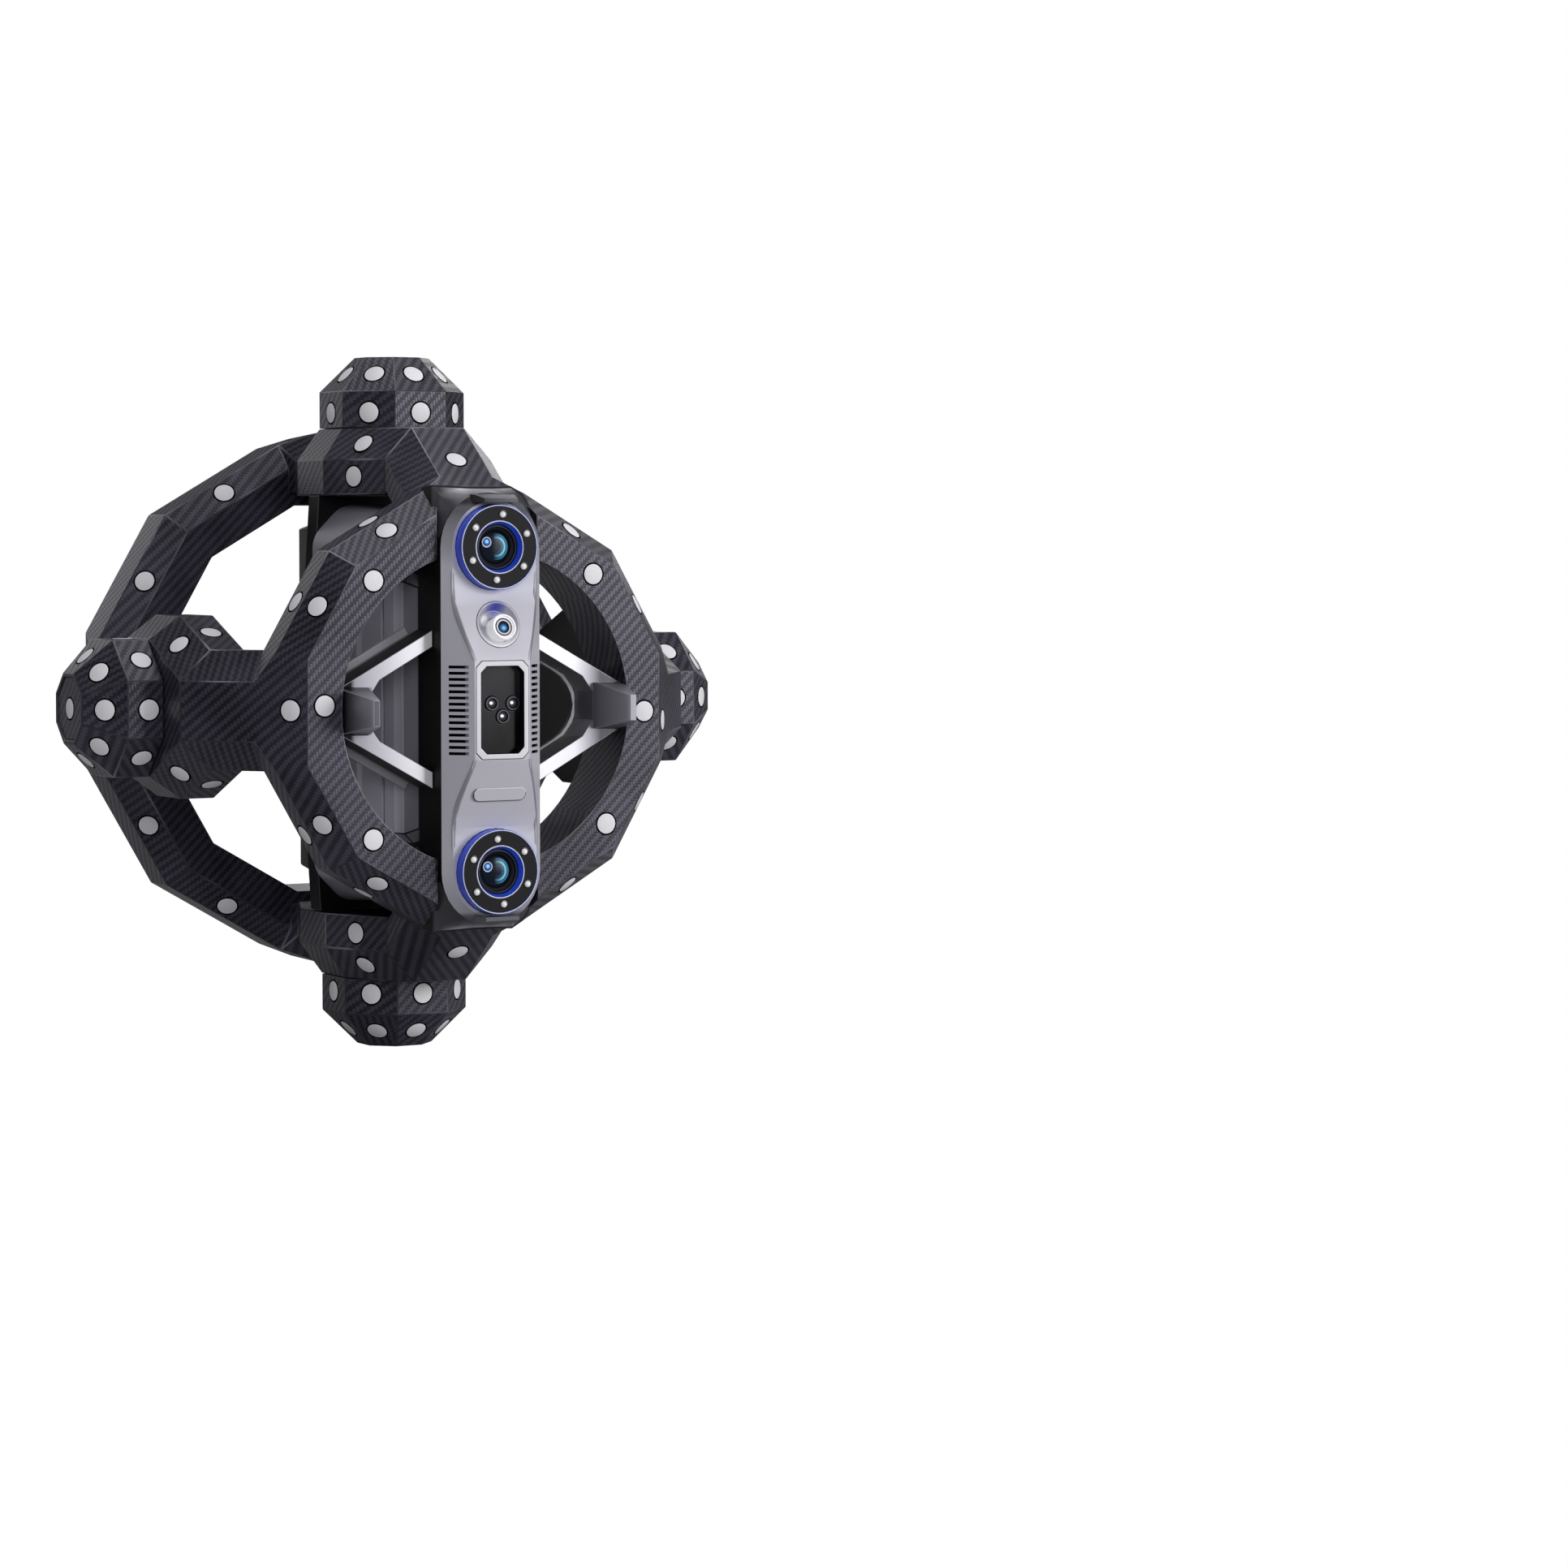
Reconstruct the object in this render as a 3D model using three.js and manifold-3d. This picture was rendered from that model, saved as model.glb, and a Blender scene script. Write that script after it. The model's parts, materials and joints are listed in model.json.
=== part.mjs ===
// Hand-held three-d scanner: a head with two cameras in a faceted cage of rings, collars and knobs.
// Millimetres, +Z up. The front, with the cameras, faces -Y, and it stands on its lower knob.
import * as THREE from "three";
import { ConvexGeometry } from "three/addons/geometries/ConvexGeometry.js";
import { mergeVertices } from "three/addons/utils/BufferGeometryUtils.js";
import Module from "manifold-3d";

const wasm = await Module();
wasm.setup();

const quarterTurn = Math.PI / 2;
const eighthTurn = Math.PI / 4;
const cos15 = Math.cos(Math.PI / 12);
const cos30 = Math.cos(Math.PI / 6);
const degrees = 180 / Math.PI;

// Sizes are counted from the cage's centre. A name that ends in Y is a reach along Y, to the front
// unless the comment over it says to the back.

// Clearance between pieces that meet, and how far a cutter runs past what it cuts
const fit = 0.3;
const overrun = 2;

// Knobs: an octagonal prism with an octagonal tip, one on each arm of a cross
const ledgeReach = 138.4;
const knobPrism = 18.6;
const knobTaper = 17.6;
const knobCrease = ledgeReach + knobPrism;
const tipReach = knobCrease + knobTaper;
const knobRadius = 36.6;
const tipRadius = 18.8;
const tipRim = 2.2;
const tipRecess = 1.6;
const endPlateThick = 0.6;
const spigotRadius = 13;
const spigotLength = 12;

// Collars: the faceted blocks that carry the knobs
const bandDrop = 16;
const bandHeight = 17.5;
const bandTop = ledgeReach - bandDrop;
const bandFoot = bandTop - bandHeight;
const bandSide = 45.2;
const bandHalf = 15.4;
const collarHalf = 53.3;
const armFacetHalf = 14.4;
const armSide = 29.2;

// Front ring: circumradius and reach of each edge of its section
const ringFaceY = 107.9;
const ringFaceRadius = 99;
const ringShoulderY = 92.3;
const ringShoulderRadius = 109.2;
const ringHeelY = 77;
const ringBackY = 68;
const ringBackRadius = 100;
const boreRadius = 77.7;
const boreSides = 72;
const armThick = 31;

// Back ring, to the back
const hoopFrontY = 60;
const hoopFrontRadius = 122.5;
const hoopShoulderY = 70;
const hoopRadius = 134.4;
const hoopHeelY = 92;
const hoopBackY = 104;
const hoopBackRadius = 123;
const hoopBore = 103.7;
const hoopArmSide = 32;
const hoopArmLift = 1.6;
const hoopArmFoot = bandFoot + hoopArmLift;

// Head: a folded front cover over a dark housing with round ends
const headHalf = 26.8;
const lensHeight = 79;
const headSides = 36;
const headCreaseY = 111.2;
const padY = 115.5;
const padHalf = 22.6;
const padStart = 57;
const windowY = 124;
const windowHalf = 14.9;
const windowReach = 24.6;
const coverWall = 2.4;
const housingWall = 2.4;
const headBackY = 86.4;
const cableHole = 8;
const tabHalf = 11;
const tabInset = 1.2;
const tabHeight = 3.8;
const tabTop = lensHeight + headHalf - tabInset;
const tabFoot = tabTop - tabHeight;
const tabY = 123.5;
const tabTaper = 2;
const capRise = 16;
const capOver = 2.6;
const capStart = lensHeight + capRise;
const capTopHalf = 18.8;
const capTopReach = lensHeight + headHalf + capOver;
const capTopY = 88.5;
const capLip = 5;

// Cameras, one at each end of the head
const cameraRingRadius = 20.8;
const cameraRingWall = 0.9;
const cameraRingY = 121.7;
const cameraRingBackY = 108;
const cameraFloor = 1.4;
const sleeveRadius = 12.9;
const sleeveWall = 0.9;
const lightPlateThick = 1.2;
const lightPlateSink = 0.3;
const lightBoardThick = 1.2;
// The lights' ring is turned by this many degrees, one way above and the other way below
const lightTurn = 6;
const lightPitchRadius = 16;
const lightRadius = 1.4;
const lightProud = 0.3;
const barrelY = 119.4;
const barrelBackY = 91;
const barrelWall = 1.6;
const barrelStep = 2.4;
const glassY = 114;
const glassThick = 3;
const glassBulge = 2;
const glassSteps = 4;
const sensorBoardThick = 1.6;
const sensorBoardHalf = 17;
const roundSides = 32;
const smallSides = 12;

// Colour camera between the upper camera and the window, square to the sloping face
const cupHeight = 41.5;
const cupRadius = 11.5;
const cupWall = 0.8;
const cupProud = 0.4;
const cupDepth = 3.6;
const cupFloor = 1.4;
const cupSeatRadius = 7.6;
const colourShiftX = 1.6;
const colourDrop = 1.9;
const colourRadius = 6.3;
const colourProud = 3.4;
const colourBack = 8;
const colourMouth = 5.3;
const colourMouthDepth = 1.4;
const colourBore = 4;
const colourGlassDepth = 3.6;

// Window in the middle of the head
const frameHalf = 14.1;
const frameReach = 23.8;
const frameCorner = 3.2;
const frameWidth = 2.4;
const frameDepth = 4.7;
const panelSink = 5;
const panelThick = 2;
const panelLap = 1.2;
const emitterRadius = 3.6;
const emitterBore = 2.4;
const emitterBoreDepth = 1.5;
const emitterPlaces = [
  [-3.4, 3],
  [7.8, 3],
  [2.5, -3.4],
];
const projectorHalf = 11;
const projectorReach = 19;
const projectorY = 113.8;

// Vents beside the window
const ventCount = 15;
const ventPitch = 3;
const ventHeight = 1.45;
const ventInner = 17;
const ventOuter = 24.1;

// Blank plate under the window
const plateHeight = 41;
const plateHalf = 14.3;
const plateHalfTall = 3.4;
const plateThick = 1;

// Brackets from the head to the front ring's bore, with a tapered post on each
const bracketY = 102.3;
const bracketBackY = 79;
const strutSlopeShare = 0.556;
const strutTop = 38.6;
const strutFoot = 30.6;
const hubHalf = 12;
const apexX = 61;
const apexHalf = 7;
const apexShoulderX = 55;
const postY = 132;
const postRootX = 62;
const postRootHalf = 11.8;
const postTipX = 69;
const postTipEndX = 72.3;
const postTipHalf = 6.3;

// Neck and core housing behind the head: half-width, reach up and down, reach to the front
// and cut corner of each section
const neckCorner = 5;
const neckSections = [
  [26.5, 64, 86.1, neckCorner],
  [31, 67, 78, neckCorner],
  [35.5, 67, 64.3, neckCorner],
];
const coreInset = 4.9;
const coreReach = bandFoot - coreInset;
const coreTaper = 3;
const coreNose = 12;
const coreCorner = 16;
const bodySections = [
  [36.5, coreReach - coreNose, 64, coreCorner],
  [43, coreReach - coreTaper, 45, coreCorner],
  [48, coreReach, 8.3, coreCorner],
];
const coreWall = 3;

// Rear plate between the collars
const plateFrontY = 8;
const plateDepth = 12;
const plateMidHalf = 51.3;
const plateEndHalf = 44.3;
const screwRadius = 2.4;
const screwHead = 1.6;
const screwInset = 7;

// Grip in the middle of the back ring, to the back
const gripCentreY = 54;
const gripHalfX = 16.5;
const gripHalfY = 18.5;
const gripSides = 20;
const bowClear = 12.2;
const bowThick = 38;
const bowFoot = hoopBore * cos15 - bowClear - bowThick;
const bowInset = 10.9;
const bowRootThick = bandFoot - bowInset - bowFoot;
const bowHalf = 17;
const bowRise = 10;
const gripReach = bowFoot + bowRise;
const bowRootHalf = 27;
const bowBackY = 78;

// Controls at the top of the grip, where the thumb lies
const consoleHalf = 13;
const consoleHalfTall = 14;
const consoleThick = 2;
const consoleProud = 1;
const pocketWall = 2;
const pocketDepth = 11;
const scanRadius = 6.5;
const scanDrop = 4;
const keyHalfX = 3.6;
const keyHalfZ = 2.6;
const keySpread = 6;
const keyRise = 7.8;
const buttonProud = 1.4;
const buttonTravel = 1.2;
const buttonGap = 0.4;
const buttonFlange = 1;
const triggerHalfX = 6;
const triggerHalfZ = 13;
const triggerDrop = 20;
const triggerHeight = bowFoot - triggerDrop;
const triggerProud = 5;
const triggerTravel = 3;
const triggerDepth = 12;
const boardThick = 1.6;

// Socket at the foot of the grip
const socketRadius = 7.5;
const socketWall = 1.4;
const socketDepth = 12;
const insertThick = 2;
const pinCount = 5;
const pinRadius = 0.7;
const pinPitch = 3.2;
const pinLength = 6;
const pinSides = 8;

// Inside the core housing
const mainBoardHalfX = 30;
const boardInset = 26;
const mainBoardHalfZ = coreReach - boardInset;
const mainBoardY = 20;
const spacerRadius = 3;
const spacerInset = 5;
const sinkHalf = 22;
const sinkFoot = -12;
const sinkTop = 48;
const sinkBase = 3;
const finCount = 9;
const finThick = 1.4;
const finDepth = 12;

// Finishes
const paint = (color, roughness, metalness) =>
  new THREE.MeshStandardMaterial({ color, roughness, metalness });
const carbon = () => paint(0x2b2a33, 0.45, 0.2);
const silver = () => paint(0xa9a8b2, 0.35, 0.7);
const brightSilver = () => paint(0xd6d5dc, 0.3, 0.6);
const blackPlastic = () => paint(0x121216, 0.5, 0);
const greyPlastic = () => paint(0x3a3a42, 0.5, 0);
const blueMetal = () => paint(0x2743b8, 0.3, 0.7);
const darkGlass = () => paint(0x10222c, 0.08, 0);
const boardGreen = () => paint(0x1d5a3a, 0.6, 0);
const steel = () => paint(0xb0b0b4, 0.35, 0.9);

// Turns a closed geometry into a solid that can be cut and joined
function solid(geometry) {
  const plain = geometry.index ? geometry.toNonIndexed() : geometry;
  plain.deleteAttribute("normal");
  if (plain.attributes.uv) {
    plain.deleteAttribute("uv");
  }
  const merged = mergeVertices(plain, 1e-4);
  const index = merged.index.array;
  const kept = [];
  for (let i = 0; i < index.length; i += 3) {
    const [a, b, c] = [index[i], index[i + 1], index[i + 2]];
    if (a !== b && b !== c && a !== c) {
      kept.push(a, b, c);
    }
  }
  const mesh = new wasm.Mesh({
    numProp: 3,
    vertProperties: Float32Array.from(merged.attributes.position.array),
    triVerts: Uint32Array.from(kept),
  });
  return new wasm.Manifold(mesh);
}

// Turns a solid back into a geometry
function shell(body) {
  const mesh = body.getMesh();
  const geometry = new THREE.BufferGeometry();
  geometry.setAttribute("position", new THREE.BufferAttribute(mesh.vertProperties, 3));
  geometry.setIndex(new THREE.BufferAttribute(mesh.triVerts, 1));
  geometry.computeVertexNormals();
  return geometry;
}

const union = (...bodies) => bodies.reduce((a, b) => a.add(b));
const cut = (body, ...tools) => tools.reduce((a, b) => a.subtract(b), body);
const hull = (points) => solid(new ConvexGeometry(points.map((p) => new THREE.Vector3(...p))));

function block(x0, x1, y0, y1, z0, z1) {
  const box = new THREE.BoxGeometry(x1 - x0, y1 - y0, z1 - z0);
  return solid(box.translate((x0 + x1) / 2, (y0 + y1) / 2, (z0 + z1) / 2));
}

// A round body along Y from y0 to y1, with its axis at x, z
function roundY(radius, y0, y1, x = 0, z = 0, sides = roundSides) {
  const body = new THREE.CylinderGeometry(radius, radius, y1 - y0, sides);
  return solid(body.translate(x, (y0 + y1) / 2, z));
}

// A round body along Z from z0 to z1
function roundZ(radius, z0, z1) {
  const body = new THREE.CylinderGeometry(radius, radius, z1 - z0, roundSides).rotateX(quarterTurn);
  return solid(body.translate(0, 0, (z0 + z1) / 2));
}

// A ring turned about the Y axis; the profile holds [radius, y] pairs, anticlockwise, and closes
function turned(profile, sides = roundSides) {
  const points = [...profile, profile[0]].map((p) => new THREE.Vector2(...p));
  return solid(new THREE.LatheGeometry(points, sides));
}
const tube = (r0, r1, y0, y1) => turned([[r0, y0], [r1, y0], [r1, y1], [r0, y1]]);

// An outline in X and Z with a depth from y0 to y1
function slab(outline, y0, y1) {
  const shape = new THREE.Shape(outline.map((p) => new THREE.Vector2(...p)));
  const body = new THREE.ExtrudeGeometry(shape, { depth: y1 - y0, bevelEnabled: false });
  return solid(body.rotateX(quarterTurn).translate(0, y1, 0));
}

const parts = [];
function part(name, body, material) {
  const mesh = new THREE.Mesh(shell(body), material);
  mesh.name = name;
  parts.push(mesh);
}

// The four directions of the cross, as turns about the Y axis from the upper one
const directions = [
  ["top", 0],
  ["right", 1],
  ["bottom", 2],
  ["left", 3],
];
const turnAboutY = (body, quarters) => body.rotate([0, 90 * quarters, 0]);
const onAllArms = (body) => directions.map(([, quarters]) => turnAboutY(body, quarters));

const signs = [
  [1, 1],
  [1, -1],
  [-1, 1],
  [-1, -1],
];
const fourWays = (x, y, z) => signs.map(([a, b]) => [a * x, b * y, z]);
const leftRight = (x, y, z) => [
  [x, y, z],
  [-x, y, z],
];

// Twelve corners of one edge of a ring, with a flat each way of the cross
function dozen(radius, y) {
  const points = [];
  for (let i = 0; i < 12; i += 1) {
    const angle = Math.PI / 12 + (i * Math.PI) / 6;
    points.push([radius * Math.cos(angle), y, radius * Math.sin(angle)]);
  }
  return points;
}
const diagonalCorners = (radius, y) => dozen(radius, y).filter((p, i) => i % 3 === 1);

// The same pair of points on all four arms
function onEachArm(x, y, z) {
  return signs.flatMap(([a, b]) => [
    [a * x, y, b * z],
    [a * z, y, b * x],
  ]);
}

// Height of a ring's slanting side over an arm, at a distance x from the arm's middle
const sideHeight = (radius, x) => (radius * cos15 - x / 2) / cos30;

// Outer faces of the arms fall from the collars' ledges to the rings
const frontFallShare = (ledgeReach - ringFaceRadius * cos15) / (ringFaceY - collarHalf);
const backFallShare = (ledgeReach - hoopRadius * cos15) / (hoopHeelY - collarHalf);
const frontArmHeight = (y) => ledgeReach - frontFallShare * (y - collarHalf);
const backArmHeight = (y) => ledgeReach - backFallShare * (y - collarHalf);
const frontArmY = collarHalf + (ledgeReach - sideHeight(ringShoulderRadius, armFacetHalf)) / frontFallShare;
const edgeDrop = ledgeReach - bandTop;

// Front ring with its four arms
function frontArm() {
  return hull(
    [collarHalf + fit, frontArmY].flatMap((y) => [
      ...leftRight(armFacetHalf, -y, frontArmHeight(y)),
      ...leftRight(armSide, -y, frontArmHeight(y) - edgeDrop),
      ...leftRight(armSide, -y, frontArmHeight(y) - armThick),
    ]),
  );
}

// The head lies in a notch at the top and bottom of the ring
function headNotch() {
  const [y0, y1] = [-ringFaceY - overrun, -headBackY + fit];
  const form = [capStart, -capStart].flatMap((z) =>
    leftRight(headHalf + fit, y0, z).concat(leftRight(headHalf + fit, y1, z)),
  );
  const ends = [capTopReach + fit, -capTopReach - fit].flatMap((z) =>
    leftRight(capTopHalf + fit, y0, z).concat(leftRight(capTopHalf + fit, y1, z)),
  );
  return hull([...form, ...ends]);
}

function frontRing() {
  const ring = hull([
    ...dozen(ringFaceRadius, -ringFaceY),
    ...dozen(ringShoulderRadius, -ringShoulderY),
    ...onEachArm(armFacetHalf, -frontArmY, frontArmHeight(frontArmY)),
    ...onEachArm(armFacetHalf, -ringHeelY, frontArmHeight(frontArmY)),
    ...diagonalCorners(ringShoulderRadius, -ringHeelY),
    ...dozen(ringBackRadius, -ringBackY),
  ]);
  const bore = roundY(boreRadius, -ringFaceY - overrun, -collarHalf, 0, 0, boreSides);
  return cut(union(ring, ...onAllArms(frontArm())), bore, headNotch());
}
part("front_ring", frontRing(), carbon());

// Back ring with its four arms
const hoopArmHeight = backArmHeight(hoopShoulderY);
const hoopArmHalf = 2 * (hoopRadius * cos15 - cos30 * hoopArmHeight);
function backArm() {
  const y0 = collarHalf + fit;
  const y1 = hoopShoulderY;
  return hull([
    ...leftRight(armFacetHalf, y0, backArmHeight(y0)),
    ...leftRight(armSide, y0, bandTop),
    ...leftRight(armSide, y0, hoopArmFoot),
    ...leftRight(hoopArmHalf, y1, hoopArmHeight),
    ...leftRight(hoopArmSide, y1, sideHeight(hoopRadius, hoopArmSide)),
    ...leftRight(hoopArmSide, y1, hoopArmFoot),
  ]);
}

function backRing() {
  const ring = hull([
    ...dozen(hoopFrontRadius, hoopFrontY),
    ...diagonalCorners(hoopRadius, hoopShoulderY),
    ...onEachArm(hoopArmHalf, hoopShoulderY, hoopArmHeight),
    ...dozen(hoopRadius, hoopHeelY),
    ...dozen(hoopBackRadius, hoopBackY),
  ]);
  const opening = hull([...dozen(hoopBore, 0), ...dozen(hoopBore, hoopBackY + overrun)]);
  return cut(union(ring, ...onAllArms(backArm())), opening);
}
part("back_ring", backRing(), carbon());

// Collar on the upper arm, with a seat for the knob's spigot
const knobFlat = knobRadius * Math.cos(eighthTurn / 2);
const knobHalf = knobRadius * Math.sin(eighthTurn / 2);
function collar() {
  const body = hull([
    ...fourWays(knobFlat, knobHalf, ledgeReach),
    ...fourWays(armFacetHalf, collarHalf, ledgeReach),
    ...fourWays(bandSide, bandHalf, bandTop),
    ...fourWays(armSide, collarHalf, bandTop),
    ...fourWays(bandSide, bandHalf, bandFoot),
    ...fourWays(armSide, collarHalf, bandFoot),
  ]);
  const seat = roundZ(spigotRadius + fit, ledgeReach - spigotLength - fit, ledgeReach + overrun);
  return cut(body, seat);
}

// Eight corners of an octagon round the knob's axis
function octagon(radius, z) {
  const points = [];
  for (let i = 0; i < 8; i += 1) {
    const angle = eighthTurn / 2 + i * eighthTurn;
    points.push([radius * Math.cos(angle), radius * Math.sin(angle), z]);
  }
  return points;
}
const octagonBody = (r0, z0, r1, z1) => hull([...octagon(r0, z0), ...octagon(r1, z1)]);
const recessFloor = tipReach - tipRecess;

function knob() {
  const mouth = tipRadius - tipRim;
  return cut(
    union(
      octagonBody(knobRadius, ledgeReach + fit, knobRadius, knobCrease),
      octagonBody(knobRadius, knobCrease, tipRadius, tipReach),
      roundZ(spigotRadius, ledgeReach - spigotLength, ledgeReach + overrun),
    ),
    octagonBody(mouth, recessFloor, mouth, tipReach + overrun),
  );
}

function knobEnd() {
  const radius = tipRadius - tipRim - fit;
  return octagonBody(radius, recessFloor + fit, radius, recessFloor + fit + endPlateThick);
}

for (const [name, quarters] of directions) {
  part(`${name}_collar`, turnAboutY(collar(), quarters), carbon());
  part(`${name}_knob`, turnAboutY(knob(), quarters), carbon());
  part(`${name}_knob_end`, turnAboutY(knobEnd(), quarters), blackPlastic());
}

// Outline of the head in X and Z, with round ends about the lenses
function headOutline(half) {
  const points = [];
  for (const [sign, start] of [
    [1, 0],
    [-1, Math.PI],
  ]) {
    for (let i = 0; i <= headSides / 2; i += 1) {
      const angle = start + (i * 2 * Math.PI) / headSides;
      points.push([half * Math.cos(angle), sign * lensHeight + half * Math.sin(angle)]);
    }
  }
  return points;
}
const atY = (outline, y) => outline.map(([x, z]) => [x, y, z]);
const bothEnds = (x, y, z) => signs.map(([a, b]) => [a * x, y, b * z]);

// The cover's form, drawn in by a wall for its inner side: a flat pad round each camera, and a
// middle that rises to the window
function coverForm(wall, backY) {
  const pads = hull([
    ...atY(headOutline(headHalf - wall), -backY),
    ...atY(headOutline(headHalf - wall), -headCreaseY),
    ...atY(headOutline(padHalf - wall), -padY + wall),
  ]);
  const middle = hull([
    ...bothEnds(headHalf - wall, -backY, padStart),
    ...bothEnds(headHalf - wall, -headCreaseY, padStart),
    ...bothEnds(padHalf - wall, -padY + wall, padStart),
    ...bothEnds(windowHalf - wall, -windowY + wall, windowReach - wall),
  ]);
  return union(pads, middle);
}

const bothLenses = [
  ["upper", 1],
  ["lower", -1],
];

// Eight-sided outline of the window frame, drawn in by a width
function frameOutline(inset) {
  const [x, z, c] = [frameHalf - inset, frameReach - inset, frameCorner];
  return [
    [x, z - c],
    [x - c, z],
    [-x + c, z],
    [-x, z - c],
    [-x, -z + c],
    [-x + c, -z],
    [x - c, -z],
    [x, -z + c],
  ];
}

function ventSlots() {
  const slots = [];
  for (let i = 0; i < ventCount; i += 1) {
    const z = (i - (ventCount - 1) / 2) * ventPitch;
    for (const [x0, x1] of [
      [ventInner, ventOuter],
      [-ventOuter, -ventInner],
    ]) {
      slots.push(block(x0, x1, -windowY, -headCreaseY - fit, z - ventHeight / 2, z + ventHeight / 2));
    }
  }
  return union(...slots);
}

// Places a body, made about the origin, square on the sloping face at a height
const slopeAngle = Math.atan((windowY - padY) / (padStart - windowReach));
const slopeY = (z) => windowY - (Math.abs(z) - windowReach) * Math.tan(slopeAngle);
const onSlope = (body, z) =>
  body.rotate([-Math.sign(z) * slopeAngle * degrees, 0, 0]).translate([0, -slopeY(z), z]);

function tab(s) {
  return hull([
    ...leftRight(tabHalf, -headCreaseY, s * tabFoot),
    ...leftRight(tabHalf, -headCreaseY, s * tabTop),
    ...leftRight(tabHalf, -padY, s * tabFoot),
    ...leftRight(tabHalf, -padY, s * tabTop),
    ...leftRight(tabHalf - tabTaper, -tabY, s * tabFoot),
    ...leftRight(tabHalf - tabTaper, -tabY, s * (tabTop - tabTaper)),
  ]);
}

function headCover() {
  const form = cut(coverForm(0, headCreaseY), coverForm(coverWall, headCreaseY - overrun));
  const sockets = bothLenses.map(([, s]) =>
    roundY(cameraRingRadius + fit, -windowY - overrun, -headBackY, 0, s * lensHeight),
  );
  const frameSeat = slab(frameOutline(-fit), -windowY - overrun, -headCreaseY);
  const cupSeat = onSlope(roundY(cupRadius + fit, -overrun, cupDepth + cupFloor + overrun), cupHeight);
  return cut(union(form, tab(1), tab(-1)), ...sockets, frameSeat, cupSeat, ventSlots());
}
part("head_front_cover", headCover(), silver());

function headHousing() {
  const front = -headCreaseY + fit;
  const floor = -headBackY - housingWall;
  return cut(
    slab(headOutline(headHalf), front, -headBackY),
    slab(headOutline(headHalf - housingWall), front - overrun, floor),
    roundY(cableHole, floor - overrun, -headBackY + overrun),
  );
}
part("head_housing", headHousing(), blackPlastic());

// End caps: faceted crowns over the round ends of the head
function endCap(s) {
  const crown = hull([
    ...leftRight(headHalf, -headCreaseY, s * capStart),
    ...leftRight(headHalf, -capTopY, s * capStart),
    ...leftRight(capTopHalf, -capTopY, s * capTopReach),
    ...leftRight(capTopHalf, -capTopY - capLip, s * capTopReach),
    ...leftRight(capTopHalf, -headCreaseY, s * (lensHeight + headHalf + fit)),
  ]);
  return cut(crown, slab(headOutline(headHalf + fit), -windowY, -headBackY + overrun));
}
for (const [name, s] of bothLenses) {
  part(`${name}_end_cap`, endCap(s), silver());
}

// Camera ring: an outer wall, a floor and an inner sleeve in one turned piece
const ringFloorY = -cameraRingBackY - cameraFloor;
function cameraRing() {
  return turned([
    [sleeveRadius - sleeveWall, -cameraRingY],
    [sleeveRadius, -cameraRingY],
    [sleeveRadius, ringFloorY],
    [cameraRingRadius - cameraRingWall, ringFloorY],
    [cameraRingRadius - cameraRingWall, -cameraRingY],
    [cameraRingRadius, -cameraRingY],
    [cameraRingRadius, -cameraRingBackY],
    [sleeveRadius - sleeveWall, -cameraRingBackY],
  ]);
}

const lightPlaces = (s) =>
  [0, 1, 2, 3, 4, 5].map((i) => {
    const angle = quarterTurn + (i * Math.PI) / 3 - (s * lightTurn * Math.PI) / 180;
    return [lightPitchRadius * Math.cos(angle), lightPitchRadius * Math.sin(angle)];
  });
const trackInner = sleeveRadius + fit;
const trackOuter = cameraRingRadius - cameraRingWall - fit;
const lightPlateY = -cameraRingY + lightPlateSink;

function lightPlate(s) {
  const disc = tube(trackInner, trackOuter, lightPlateY, lightPlateY + lightPlateThick);
  const holes = lightPlaces(s).map(([x, z]) =>
    roundY(lightRadius + fit, lightPlateY - overrun, lightPlateY + overrun, x, z, smallSides),
  );
  return cut(disc, ...holes);
}

// The lights stand on a round board on the ring's floor and show through the plate
function lightBoard(s) {
  const y1 = ringFloorY - fit;
  const y0 = y1 - lightBoardThick;
  const top = lightPlateY - lightProud;
  const lights = lightPlaces(s).map(([x, z]) => roundY(lightRadius, top, y1, x, z, smallSides));
  return union(tube(trackInner, trackOuter, y0, y1), ...lights);
}

const barrelRadius = sleeveRadius - sleeveWall - fit;
const barrelSeat = barrelRadius - barrelWall;
function lensBarrel() {
  const shoulder = -glassY + glassThick + fit;
  return turned([
    [barrelSeat, -barrelY],
    [barrelRadius, -barrelY],
    [barrelRadius, -barrelBackY],
    [barrelSeat - barrelStep, -barrelBackY],
    [barrelSeat - barrelStep, shoulder],
    [barrelSeat, shoulder],
  ]);
}

// The front glass bulges forward
function lensGlass() {
  const radius = barrelSeat - fit;
  const profile = [];
  for (let i = 0; i <= glassSteps; i += 1) {
    const reach = i / glassSteps;
    profile.push([radius * reach, -glassY - glassBulge * (1 - reach * reach)]);
  }
  profile.push([radius, -glassY + glassThick], [0, -glassY + glassThick]);
  return solid(new THREE.LatheGeometry(profile.map((p) => new THREE.Vector2(...p)), roundSides));
}

function sensorBoard() {
  const [h, y] = [sensorBoardHalf, -barrelBackY + fit];
  return block(-h, h, y, y + sensorBoardThick, -h, h);
}

for (const [name, s] of bothLenses) {
  const placed = (body) => body.translate([0, 0, s * lensHeight]);
  part(`${name}_camera_ring`, placed(cameraRing()), blueMetal());
  part(`${name}_light_plate`, placed(lightPlate(s)), blackPlastic());
  part(`${name}_light_board`, placed(lightBoard(s)), brightSilver());
  part(`${name}_lens_barrel`, placed(lensBarrel()), blackPlastic());
  part(`${name}_lens_glass`, placed(lensGlass()), darkGlass());
  part(`${name}_sensor_board`, placed(sensorBoard()), boardGreen());
}

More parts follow.
